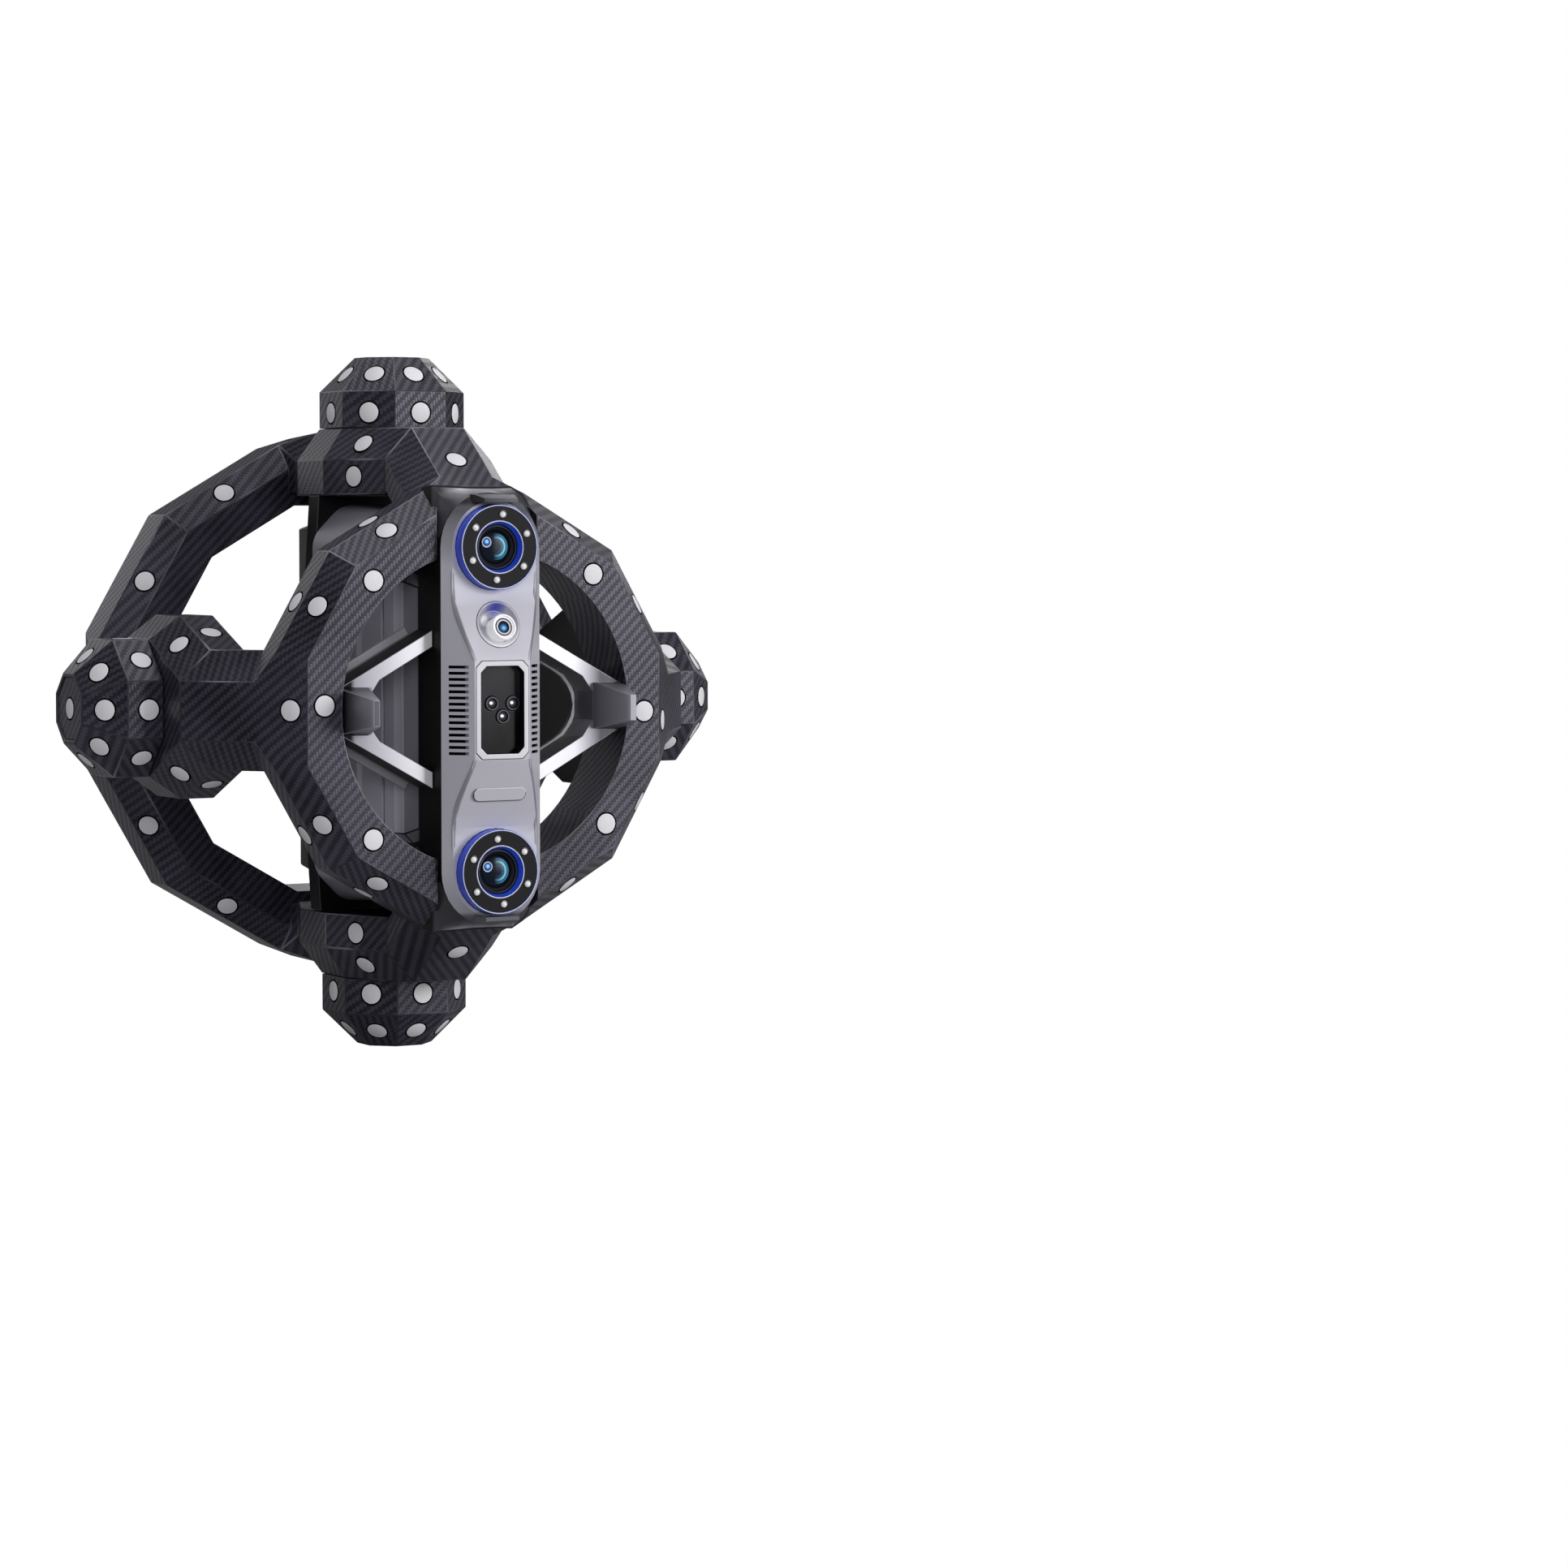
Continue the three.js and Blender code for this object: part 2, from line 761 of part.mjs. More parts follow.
// Colour camera: a polished cup, a barrel set off its centre, and the lens
const offCentre = (body) => body.translate([colourShiftX, 0, -colourDrop]);
function colourCup() {
  const cup = turned([
    [cupSeatRadius, cupDepth],
    [cupRadius - cupWall, -cupProud],
    [cupRadius, -cupProud],
    [cupRadius, cupDepth + cupFloor],
    [colourRadius - overrun, cupDepth + cupFloor],
    [colourRadius - overrun, cupDepth],
  ]);
  return cut(cup, offCentre(roundY(colourRadius + fit, -overrun, colourBack)));
}
function colourBarrel() {
  return turned([
    [colourMouth, -colourProud],
    [colourRadius, -colourProud],
    [colourRadius, colourBack],
    [colourBore, colourBack],
    [colourBore, -colourProud + colourMouthDepth],
    [colourMouth, -colourProud + colourMouthDepth],
  ]);
}
const colourGlassY = -colourProud + colourMouthDepth;
const colourGlass = () => roundY(colourBore - fit, colourGlassY, colourGlassY + colourGlassDepth);
part("colour_camera_cup", onSlope(colourCup(), cupHeight), brightSilver());
part("colour_camera_barrel", onSlope(offCentre(colourBarrel()), cupHeight), silver());
part("colour_camera_glass", onSlope(offCentre(colourGlass()), cupHeight), darkGlass());

// Window: a bright frame, a sunken dark panel behind it, and the projector with three lenses
const frameFront = -windowY - fit;
const frameBack = frameFront + frameDepth;
const panelFront = -windowY + panelSink;
function windowFrame() {
  const opening = slab(frameOutline(frameWidth), frameFront - overrun, frameBack + overrun);
  return cut(slab(frameOutline(0), frameFront, frameBack), opening);
}
function windowPanel() {
  const holes = emitterPlaces.map(([x, z]) =>
    roundY(emitterRadius + fit, panelFront - overrun, panelFront + panelThick + overrun, x, z),
  );
  return cut(slab(frameOutline(frameWidth - panelLap), panelFront, panelFront + panelThick), ...holes);
}
function projector() {
  const front = panelFront - fit;
  const box = block(
    -projectorHalf,
    projectorHalf,
    -projectorY,
    -headBackY - housingWall - fit,
    -projectorReach,
    projectorReach,
  );
  const lenses = emitterPlaces.map(([x, z]) => roundY(emitterRadius, front, -projectorY + overrun, x, z));
  const bores = emitterPlaces.map(([x, z]) =>
    roundY(emitterBore, front - overrun, front + emitterBoreDepth, x, z),
  );
  return cut(union(box, ...lenses), ...bores);
}
part("window_frame", windowFrame(), brightSilver());
part("window_panel", windowPanel(), blackPlastic());
part("projector_module", projector(), greyPlastic());

// Blank plate with round ends on the slope under the window
function blankPlate() {
  const outline = [];
  for (const s of [1, -1]) {
    for (let i = 0; i <= smallSides; i += 1) {
      const angle = -s * quarterTurn + (i * Math.PI) / smallSides;
      const [c, d] = [plateHalfTall * Math.cos(angle), plateHalfTall * Math.sin(angle)];
      outline.push([s * (plateHalf - plateHalfTall) + s * Math.abs(c), d]);
    }
  }
  return slab(outline, -plateThick - fit, -fit);
}
part("blank_plate", onSlope(blankPlate(), -plateHeight), brightSilver());

// Neck behind the head, and the core housing, which opens to the neck and the rear plate
function coreSection([x, z, y, corner], wall, shift) {
  const points = [];
  for (const [a, b] of signs) {
    points.push([a * (x - wall), -y + shift, b * (z - wall - corner)]);
    points.push([a * (x - wall - corner), -y + shift, b * (z - wall)]);
  }
  return points;
}
const coreSolid = (sections, wall, shift = 0) => hull(sections.flatMap((s) => coreSection(s, wall, shift)));

function neck() {
  const room = coreSolid(neckSections, coreWall);
  const [front, , back] = neckSections;
  const mouth = coreSolid([front, [front[0], front[1], front[2] + overrun, front[3]]], coreWall);
  const rear = coreSolid([back, [back[0], back[1], back[2] - overrun, back[3]]], coreWall);
  return cut(coreSolid(neckSections, 0), room, mouth, rear);
}
part("neck", neck(), greyPlastic());

function coreHousing() {
  const rear = bodySections[2];
  const neckRear = neckSections[2];
  return cut(
    coreSolid(bodySections, 0),
    coreSolid(bodySections, coreWall, coreWall),
    coreSolid([rear, [rear[0], rear[1], rear[2] - overrun, rear[3]]], coreWall),
    coreSolid([neckRear, [neckRear[0], neckRear[1], neckRear[2] - coreWall - overrun, neckCorner]], coreWall),
  );
}
part("core_housing", coreHousing(), greyPlastic());

// Bracket on the right side: two struts that meet in a hub, and the post
const bracketHeadX = headHalf + fit;
const strutHeight = (z, x) => z - strutSlopeShare * (x - bracketHeadX);
const hubX = bracketHeadX + (strutTop - hubHalf) / strutSlopeShare;
const bracketReach = boreRadius * Math.cos(Math.PI / boreSides) - fit;
function bracket() {
  const upper = [
    [bracketHeadX, strutFoot],
    [apexShoulderX, strutHeight(strutFoot, apexShoulderX)],
    [apexX, apexHalf],
  ];
  const rim = [
    [boreRadius, -hubHalf],
    [boreRadius, hubHalf],
    [hubX, hubHalf],
    [bracketHeadX, strutTop],
  ];
  const lower = upper.map(([x, z]) => [x, -z]).reverse();
  const outline = [...lower, [bracketHeadX, -strutTop], [hubX, -hubHalf], ...rim, ...upper];
  const struts = slab(outline, -bracketY, -bracketBackY);
  const post = hull(
    [1, -1].flatMap((s) => [
      [postRootX, -bracketY + overrun, s * postRootHalf],
      [boreRadius, -bracketY + overrun, s * postRootHalf],
      [postTipX, -postY, s * postTipHalf],
      [postTipEndX, -postY, s * postTipHalf],
    ]),
  );
  const bore = roundY(bracketReach, -postY - overrun, -ringBackY, 0, 0, boreSides);
  return cut(union(struts, post).intersect(bore), coreSolid(neckSections, -fit));
}
part("right_bracket", bracket(), silver());
part("left_bracket", bracket().rotate([0, 180, 0]).mirror([0, 0, 1]), silver());

// Rear plate, with spacers for the main board
const plateEnd = bandFoot - fit;
const plateBack = plateDepth - plateFrontY;
const boardBack = -mainBoardY + boardThick;
function rearPlate() {
  const outline = [
    [plateMidHalf, 0],
    [plateEndHalf, plateEnd],
    [-plateEndHalf, plateEnd],
    [-plateMidHalf, 0],
    [-plateEndHalf, -plateEnd],
    [plateEndHalf, -plateEnd],
  ];
  const spacers = signs.map(([a, b]) => {
    const [x, z] = [a * (mainBoardHalfX - spacerInset), b * (mainBoardHalfZ - spacerInset)];
    return roundY(spacerRadius, boardBack + fit, -plateFrontY + overrun, x, z, smallSides);
  });
  return union(slab(outline, -plateFrontY, plateBack), ...spacers);
}
part("rear_plate", rearPlate(), blackPlastic());

const screwPlaces = [
  ["upper_right_screw", 1, 1],
  ["lower_right_screw", 1, -1],
  ["upper_left_screw", -1, 1],
  ["lower_left_screw", -1, -1],
];
for (const [name, a, b] of screwPlaces) {
  const [x, z] = [a * (plateEndHalf - screwInset), b * (plateEnd - screwInset)];
  part(name, roundY(screwRadius, plateBack + fit, plateBack + fit + screwHead, x, z, smallSides), steel());
}

// Grip: a column, and a bow at each end that carries it on the rear plate
const gripFront = gripCentreY - gripHalfY;
function bow(s) {
  return hull([
    ...leftRight(bowRootHalf, plateBack + fit, s * (bowFoot + bowRise)),
    ...leftRight(bowRootHalf, plateBack + fit, s * (bowFoot + bowRootThick)),
    ...leftRight(bowHalf, gripFront, s * bowFoot),
    ...leftRight(bowHalf, gripFront, s * (bowFoot + bowRootThick)),
    ...leftRight(bowHalf, bowBackY, s * bowFoot),
    ...leftRight(bowHalf, bowBackY, s * (bowFoot + bowThick)),
  ]);
}

const consoleZ = bowFoot + bowThick / 2;
const consoleFace = bowBackY + consoleProud;
const consoleBack = consoleFace - consoleThick;
const pocketFloor = bowBackY - pocketDepth;
const pocketHalf = consoleHalf - pocketWall;
const pocketHalfTall = consoleHalfTall - pocketWall;

// A plate-shaped body centred on the console, from y0 to y1
const consoleBlock = (x, z, y0, y1) => block(-x, x, y0, y1, consoleZ - z, consoleZ + z);

const triggerBack = gripFront + triggerDepth;
const triggerBlock = (grow, y0, y1) =>
  block(
    -triggerHalfX - grow,
    triggerHalfX + grow,
    y0,
    y1,
    triggerHeight - triggerHalfZ - grow,
    triggerHeight + triggerHalfZ + grow,
  );

function grip() {
  const column = hull(
    [gripReach, -gripReach].flatMap((z) => {
      const points = [];
      for (let i = 0; i < gripSides; i += 1) {
        const angle = (i * 2 * Math.PI) / gripSides;
        points.push([gripHalfX * Math.cos(angle), gripCentreY + gripHalfY * Math.sin(angle), z]);
      }
      return points;
    }),
  );
  return cut(
    union(column, bow(1), bow(-1)),
    consoleBlock(consoleHalf + fit, consoleHalfTall + fit, consoleBack - fit, bowBackY + overrun),
    consoleBlock(pocketHalf, pocketHalfTall, pocketFloor, bowBackY),
    triggerBlock(buttonGap, gripFront - overrun, triggerBack),
    roundY(socketRadius + fit, bowBackY - socketDepth - fit, bowBackY + overrun, 0, -consoleZ),
  );
}
part("grip", grip(), blackPlastic());

// Console with the scan button and two keys
const keyPlaces = [
  ["plus_key", keySpread],
  ["minus_key", -keySpread],
];
const scanZ = consoleZ - scanDrop;
const keyZ = consoleZ + keyRise;
const flangeBack = consoleBack - fit - buttonFlange;
const buttonBack = pocketFloor + fit + boardThick + buttonTravel + fit;
const keyBlock = (x, grow, y0, y1) =>
  block(x - keyHalfX - grow, x + keyHalfX + grow, y0, y1, keyZ - keyHalfZ - grow, keyZ + keyHalfZ + grow);

function consolePlate() {
  const [y0, y1] = [consoleBack - overrun, consoleFace + overrun];
  return cut(
    consoleBlock(consoleHalf, consoleHalfTall, consoleBack, consoleFace),
    roundY(scanRadius + buttonGap, y0, y1, 0, scanZ),
    ...keyPlaces.map(([, x]) => keyBlock(x, buttonGap, y0, y1)),
  );
}
part("console_plate", consolePlate(), greyPlastic());

function scanButton() {
  return union(
    roundY(scanRadius, buttonBack, consoleFace + buttonProud, 0, scanZ),
    roundY(scanRadius + buttonFlange, flangeBack, flangeBack + buttonFlange, 0, scanZ),
  );
}
part("scan_button", scanButton(), blueMetal());
for (const [name, x] of keyPlaces) {
  const body = keyBlock(x, 0, buttonBack, consoleFace + buttonProud);
  part(name, union(body, keyBlock(x, buttonFlange, flangeBack, flangeBack + buttonFlange)), greyPlastic());
}
const consoleBoardBack = pocketFloor + fit;
part(
  "console_board",
  consoleBlock(pocketHalf - fit, pocketHalfTall - fit, consoleBoardBack, consoleBoardBack + boardThick),
  boardGreen(),
);

// Trigger under the first finger
function trigger() {
  const body = triggerBlock(0, gripFront, triggerBack - triggerTravel - fit);
  const tip = triggerHalfX - buttonFlange;
  const nose = hull(
    [1, -1].flatMap((s) => [
      ...leftRight(triggerHalfX, gripFront + overrun, triggerHeight + s * triggerHalfZ),
      ...leftRight(triggerHalfX, gripFront, triggerHeight + s * triggerHalfZ),
      ...leftRight(tip, gripFront - triggerProud, triggerHeight + (s * triggerHalfZ) / 2),
    ]),
  );
  return union(body, nose);
}
part("trigger", trigger(), greyPlastic());

// Round cable socket, and the insert that holds its pins
const socketFloor = bowBackY - socketDepth + socketWall;
function cableSocket() {
  return cut(
    roundY(socketRadius, bowBackY - socketDepth, bowBackY, 0, -consoleZ),
    roundY(socketRadius - socketWall, socketFloor, bowBackY + overrun, 0, -consoleZ),
  );
}
function socketInsert() {
  const [y0, y1] = [socketFloor + fit, socketFloor + fit + insertThick];
  const pins = [];
  for (let i = 0; i < pinCount; i += 1) {
    const angle = (i * 2 * Math.PI) / pinCount;
    const [x, z] = [pinPitch * Math.cos(angle), pinPitch * Math.sin(angle) - consoleZ];
    pins.push(roundY(pinRadius, y0, y1 + pinLength, x, z, pinSides));
  }
  return union(roundY(socketRadius - socketWall - fit, y0, y1, 0, -consoleZ), ...pins);
}
part("cable_socket", cableSocket(), steel());
part("socket_insert", socketInsert(), blackPlastic());

// Main board on the rear plate's spacers, and its heat sink
part(
  "main_board",
  block(-mainBoardHalfX, mainBoardHalfX, -mainBoardY, boardBack, -mainBoardHalfZ, mainBoardHalfZ),
  boardGreen(),
);
function heatSink() {
  const back = -mainBoardY - fit;
  const fins = [];
  for (let i = 0; i < finCount; i += 1) {
    const x = -sinkHalf + (i * (2 * sinkHalf - finThick)) / (finCount - 1);
    fins.push(block(x, x + finThick, back - sinkBase - finDepth, back, sinkFoot, sinkTop));
  }
  return union(block(-sinkHalf, sinkHalf, back - sinkBase, back, sinkFoot, sinkTop), ...fins);
}
part("heat_sink", heatSink(), steel());

// The origin lies under the middle of the whole, on the plane that the lower knob stands on
const scanner = new THREE.Group();
scanner.add(...parts);
scanner.position.set(0, (postY - hoopBackY) / 2, tipReach);

export default scanner;
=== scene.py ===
import json
import math

import bmesh
import bpy
from mathutils import Matrix, Vector
from mathutils.bvhtree import BVHTree


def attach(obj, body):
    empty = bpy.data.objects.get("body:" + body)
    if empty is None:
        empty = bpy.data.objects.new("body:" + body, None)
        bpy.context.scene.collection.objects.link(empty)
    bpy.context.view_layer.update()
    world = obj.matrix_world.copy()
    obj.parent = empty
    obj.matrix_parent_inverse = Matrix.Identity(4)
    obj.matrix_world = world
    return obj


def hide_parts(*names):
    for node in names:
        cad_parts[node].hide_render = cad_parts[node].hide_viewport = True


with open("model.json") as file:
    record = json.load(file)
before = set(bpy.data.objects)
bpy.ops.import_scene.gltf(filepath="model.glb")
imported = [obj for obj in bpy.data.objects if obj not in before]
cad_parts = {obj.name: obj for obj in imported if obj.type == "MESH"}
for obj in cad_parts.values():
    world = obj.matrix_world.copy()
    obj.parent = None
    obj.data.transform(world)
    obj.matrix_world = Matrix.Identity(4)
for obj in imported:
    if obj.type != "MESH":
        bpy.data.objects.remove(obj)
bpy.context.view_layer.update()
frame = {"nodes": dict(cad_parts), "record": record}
nodes = frame["nodes"]
slot_of = {s["node"]: s["material_slot"] for s in frame["record"]["subparts"]}
body_of = {n: b for b, names in frame["record"]["behaviour"]["bodies"].items() for n in names}

# The cage's centre in the row frame, in millimetres: sizes below are counted from it
CENTRE = Vector((0, 14, 174.6))
MM = 0.001
MIDDLE = CENTRE.z * MM
X, Y, Z = 0, 1, 2
# How far above the cage's middle the colour camera lies, in millimetres
COLOUR_UP = 41.5


def at(x, y, z):
    return (Vector((x, y, z)) + CENTRE) * MM


trees = {}


def hit(names, start, way):
    """The nearest point and normal where a line meets the named CAD nodes."""
    best = None
    for n in names:
        if n not in trees:
            o = nodes[n]
            trees[n] = BVHTree.FromPolygons([o.matrix_world @ v.co for v in o.data.vertices],
                                            [p.vertices[:] for p in o.data.polygons])
        point, normal, _, reach = trees[n].ray_cast(start, way)
        if point is not None and (best is None or reach < best[2]):
            best = (point, normal if normal.dot(way) < 0 else -normal, reach)
    return best


# Materials

# Tones that more than one material uses
CHARCOAL = (0.03, 0.029, 0.036)
POST_GREY = (0.19, 0.186, 0.215)
# Noise scales that draw fine lines across one axis
FINE_X, FINE_Y, FINE_Z = (900, 60, 60), (60, 900, 60), (60, 60, 900)
# Height of a fine relief and width of one tow of the carbon cloth, in metres
FINE_RELIEF, TOW = 0.00004, 0.0014


class Graph:
    """A short way to write a node material."""

    def __init__(self, name):
        self.mat = bpy.data.materials.new(name)
        self.mat.use_nodes = True
        self.tree = self.mat.node_tree
        self.tree.nodes.clear()
        out = self.tree.nodes.new("ShaderNodeOutputMaterial")
        self.shader = self.tree.nodes.new("ShaderNodeBsdfPrincipled")
        self.link(self.shader.outputs[0], out.inputs[0])
        self.coord = self.tree.nodes.new("ShaderNodeTexCoord")

    def link(self, a, b):
        self.tree.links.new(a, b)

    def math(self, kind, a, b=None, clamp=False):
        n = self.tree.nodes.new("ShaderNodeMath")
        n.operation = kind
        n.use_clamp = clamp
        for i, v in enumerate((a, b)):
            if v is None:
                continue
            if isinstance(v, (int, float)):
                n.inputs[i].default_value = v
            else:
                self.link(v, n.inputs[i])
        return n.outputs[0]

    def plus(self, a, b, clamp=False):
        return self.math("ADD", a, b, clamp)

    def minus(self, a, b, clamp=False):
        return self.math("SUBTRACT", a, b, clamp)

    def times(self, a, b, clamp=False):
        return self.math("MULTIPLY", a, b, clamp)

    def absolute(self, a):
        return self.math("ABSOLUTE", a)

    def larger(self, a, b):
        return self.math("MAXIMUM", a, b)

    def above(self, a, b):
        return self.math("GREATER_THAN", a, b)

    def below(self, a, b):
        return self.math("LESS_THAN", a, b)

    def rise(self, value, start, rate):
        """Zero up to the start, then a climb to one at the given rate."""
        return self.times(self.minus(value, start), rate, clamp=True)

    def stir(self, value, noise, amount):
        """The value, moved up and down a little by a noise."""
        return self.plus(value, self.times(self.minus(noise, 0.5), amount))

    def pick(self, choice, a, b):
        """The number a where the choice is zero, and b where it is one."""
        return self.plus(a, self.times(choice, self.minus(b, a)))

    def split(self, vector):
        n = self.tree.nodes.new("ShaderNodeSeparateXYZ")
        self.link(vector, n.inputs[0])
        return n.outputs

    def place(self):
        return self.split(self.coord.outputs["Object"])

    def facing(self):
        return self.split(self.coord.outputs["Normal"])

    def along(self, axis, middle, scale):
        """A value that grows along one axis, 0.5 at the given place in millimetres."""
        start = (middle + CENTRE[axis]) * MM
        return self.plus(self.times(self.minus(self.place()[axis], start), scale), 0.5)

    def off_middle(self):
        """The distance above or below the cage's middle, in metres."""
        return self.absolute(self.minus(self.place()[Z], MIDDLE))

    def noise(self, scale, detail=2.0, stretch=None, rough=0.5):
        n = self.tree.nodes.new("ShaderNodeTexNoise")
        n.inputs["Scale"].default_value = scale
        n.inputs["Detail"].default_value = detail
        n.inputs["Roughness"].default_value = rough
        if stretch:
            m = self.tree.nodes.new("ShaderNodeMapping")
            m.inputs["Scale"].default_value = stretch
            self.link(self.coord.outputs["Object"], m.inputs[0])
            self.link(m.outputs[0], n.inputs[0])
        else:
            self.link(self.coord.outputs["Object"], n.inputs[0])
        return n.outputs[0]

    def ramp(self, value, *stops):
        n = self.tree.nodes.new("ShaderNodeValToRGB")
        els = n.color_ramp.elements
        els.remove(els[1])
        els[0].position, els[0].color = stops[0][0], (*stops[0][1], 1)
        for p, c in stops[1:]:
            els.new(p).color = (*c, 1)
        self.link(value, n.inputs[0])
        return n.outputs[0]

    def spread(self, value, low, high):
        n = self.tree.nodes.new("ShaderNodeMapRange")
        n.inputs["To Min"].default_value = low
        n.inputs["To Max"].default_value = high
        self.link(value, n.inputs[0])
        return n.outputs[0]

    def mix(self, fac, a, b):
        n = self.tree.nodes.new("ShaderNodeMix")
        n.data_type = "RGBA"
        self.link(fac, n.inputs[0])
        for i, v in ((6, a), (7, b)):
            if isinstance(v, tuple):
                n.inputs[i].default_value = (*v, 1)
            else:
                self.link(v, n.inputs[i])
        return n.outputs[2]

    def bump(self, height, strength, distance):
        n = self.tree.nodes.new("ShaderNodeBump")
        n.inputs["Strength"].default_value = strength
        n.inputs["Distance"].default_value = distance
        self.link(height, n.inputs["Height"])
        self.link(n.outputs[0], self.shader.inputs["Normal"])

    def set(self, **values):
        for key, v in values.items():
            socket = self.shader.inputs[key.replace("_", " ")]
            if isinstance(v, tuple):
                socket.default_value = (*v, 1)
            elif isinstance(v, (int, float)):
                socket.default_value = v
            else:
                self.link(v, socket)


def shade(color, k):
    return tuple(min(1.0, c * k) for c in color)


def grained(name, color, rough, metal=0.0, grain=2600, deep=0.15, vary=0.12, size=0.0001, **more):
    """Paint or plastic with a fine grain, and a slow drift of tone and gloss."""
    g = Graph(name)
    slow = g.noise(9, 3)
    fine = g.noise(grain, 2)
    g.set(
        Base_Color=g.ramp(slow, (0.3, shade(color, 1 - vary)), (0.7, shade(color, 1 + vary))),
        Roughness=g.spread(g.plus(g.times(slow, 0.7), g.times(fine, 0.3)), rough - 0.07, rough + 0.07),
        Metallic=metal,
        **more,
    )
    g.bump(fine, deep, size)
    return g.mat


def brushed(name, color, rough, metal, stretch, **more):
    """Metal with fine lines, as close along each axis as the stretch says."""
    g = Graph(name)
    lines = g.noise(1, 3, stretch=stretch)
    slow = g.noise(8, 2)
    g.set(
        Base_Color=g.ramp(slow, (0.3, shade(color, 0.9)), (0.7, shade(color, 1.08))),
        Roughness=g.spread(lines, rough - 0.06, rough + 0.08),
        Metallic=metal,
        **more,
    )
    g.bump(lines, 0.08, FINE_RELIEF)
    return g.mat


def carbon_twill(name):
    """Two-by-two twill, laid flat on each facet from the side that it faces."""
    g = Graph(name)
    x, y, z = g.place()
    nx, ny, nz = g.facing()
    # the factors decide for the facets that lie halfway between two axes
    ax = g.absolute(nx)
    ay = g.times(g.absolute(ny), 1.03)
    az = g.times(g.absolute(nz), 1.07)
    is_z = g.above(az, g.larger(ax, ay))
    is_x = g.times(g.above(ax, ay), g.minus(1.0, is_z))
    # seen from outside, each face has u to its right
    turn_y = g.times(g.math("SIGN", nx), y)
    turn_x = g.times(g.math("SIGN", ny), g.times(x, -1.0))
    turn_x = g.pick(is_z, turn_x, x)
    u = g.pick(is_x, turn_x, turn_y)
    v = g.pick(is_z, z, y)
    # a slow drift keeps the tows from lying dead straight
    drift = g.times(g.noise(30, 1), 0.8)
    a = g.plus(g.math("DIVIDE", u, TOW), drift)
    b = g.plus(g.math("DIVIDE", v, TOW), drift)
    step = g.math("FLOORED_MODULO", g.minus(g.math("FLOOR", a), g.math("FLOOR", b)), 4.0)
    over = g.below(step, 1.5)

    def crown(t):
        f = g.minus(g.times(g.math("FRACT", t), 2.0), 1.0)
        return g.minus(1.0, g.times(f, f))

    height = g.pick(over, crown(b), crown(a))
    cloud = g.noise(20, 4, rough=0.6)
    speck = g.noise(1400, 3, (1, 1, 0.35), 0.7)
    weave = g.stir(g.plus(g.times(over, 0.7), g.times(height, 0.2)), speck, 0.5)
    cloth = g.ramp(weave, (0.0, (0.0034, 0.0032, 0.0055)), (0.45, (0.009, 0.0084, 0.014)),
                   (0.95, (0.038, 0.0345, 0.053)))
    # the lighter cloth, mixed in by slow patches, is painted sheen that stands in for the coat's reflections
    sheen_cloth = g.ramp(weave, (0.0, (0.0205, 0.019, 0.0285)), (0.95, (0.066, 0.06, 0.086)))
    gloss = g.minus(g.plus(g.times(cloud, 0.6), 0.35), g.times(over, 0.3))
    g.set(
        Base_Color=g.mix(g.rise(cloud, 0.4, 4.8), cloth, sheen_cloth),
        Roughness=g.spread(gloss, 0.26, 0.48),
        Metallic=0.0,
        Specular_IOR_Level=g.spread(over, 0.36, 0.52),
        Specular_Tint=(0.9, 0.87, 1.0),
        Coat_Weight=0.06,
        Coat_Roughness=0.3,
    )
    g.bump(height, 0.3, 0.00012)
    return g.mat


def lens_coat(name, centre, radius, painted_glow, *stops, side=0.0):
    """Coated glass whose colour rings about a centre are painted reflections that glow a little, and which
    can fade out towards the left as painted shade.
    """
    g = Graph(name)
    x, _, z = g.place()
    dx = g.minus(x, centre[X])
    dz = g.minus(z, centre[Z])
    r = g.math("SQRT", g.plus(g.times(dx, dx), g.times(dz, dz)))
    tone = g.ramp(g.math("DIVIDE", r, radius, clamp=True), *stops)
    if side:
        fade = g.plus(g.times(dx, side / radius), 0.35, clamp=True)
        tone = g.mix(fade, (0.003, 0.006, 0.012), tone)
    g.set(Base_Color=tone, Emission_Color=tone, Emission_Strength=painted_glow, Metallic=0.0,
          Roughness=g.spread(g.noise(900, 2), 0.2, 0.26), Specular_IOR_Level=0.14)
    return g.mat


def cowl_shading(name):
    """Satin moulding with upright bands of painted light and shade and fine painted highlight lines, counted
    back from its dark end by the head, whose darkness is painted shade.
    """
    g = Graph(name)
    base, light = (0.6, 0.59, 0.68), (0.9, 0.89, 0.96)
    # the tones of the bands and their light lines are painted light and shade
    bands = g.ramp(g.along(Y, -51, 1 / 0.08), (0.0, CHARCOAL), (0.06, CHARCOAL), (0.075, shade(base, 0.5)),
                   (0.16, shade(base, 0.6)), (0.17, light), (0.18, shade(base, 1.1)),
                   (0.235, shade(base, 1.4)), (0.24, light), (0.25, base), (0.5, base), (0.51, light),
                   (0.545, light), (0.555, shade(base, 0.8)), (0.99, shade(base, 0.55)))
    slow = g.noise(14, 2)
    g.set(Base_Color=g.mix(g.spread(slow, 0.0, 0.35), bands, shade(base, 0.6)),
          Roughness=g.spread(slow, 0.3, 0.42), Metallic=0.3)
    g.bump(g.noise(1, 2, (900, 900, 8)), 0.06, FINE_RELIEF)
    return g.mat


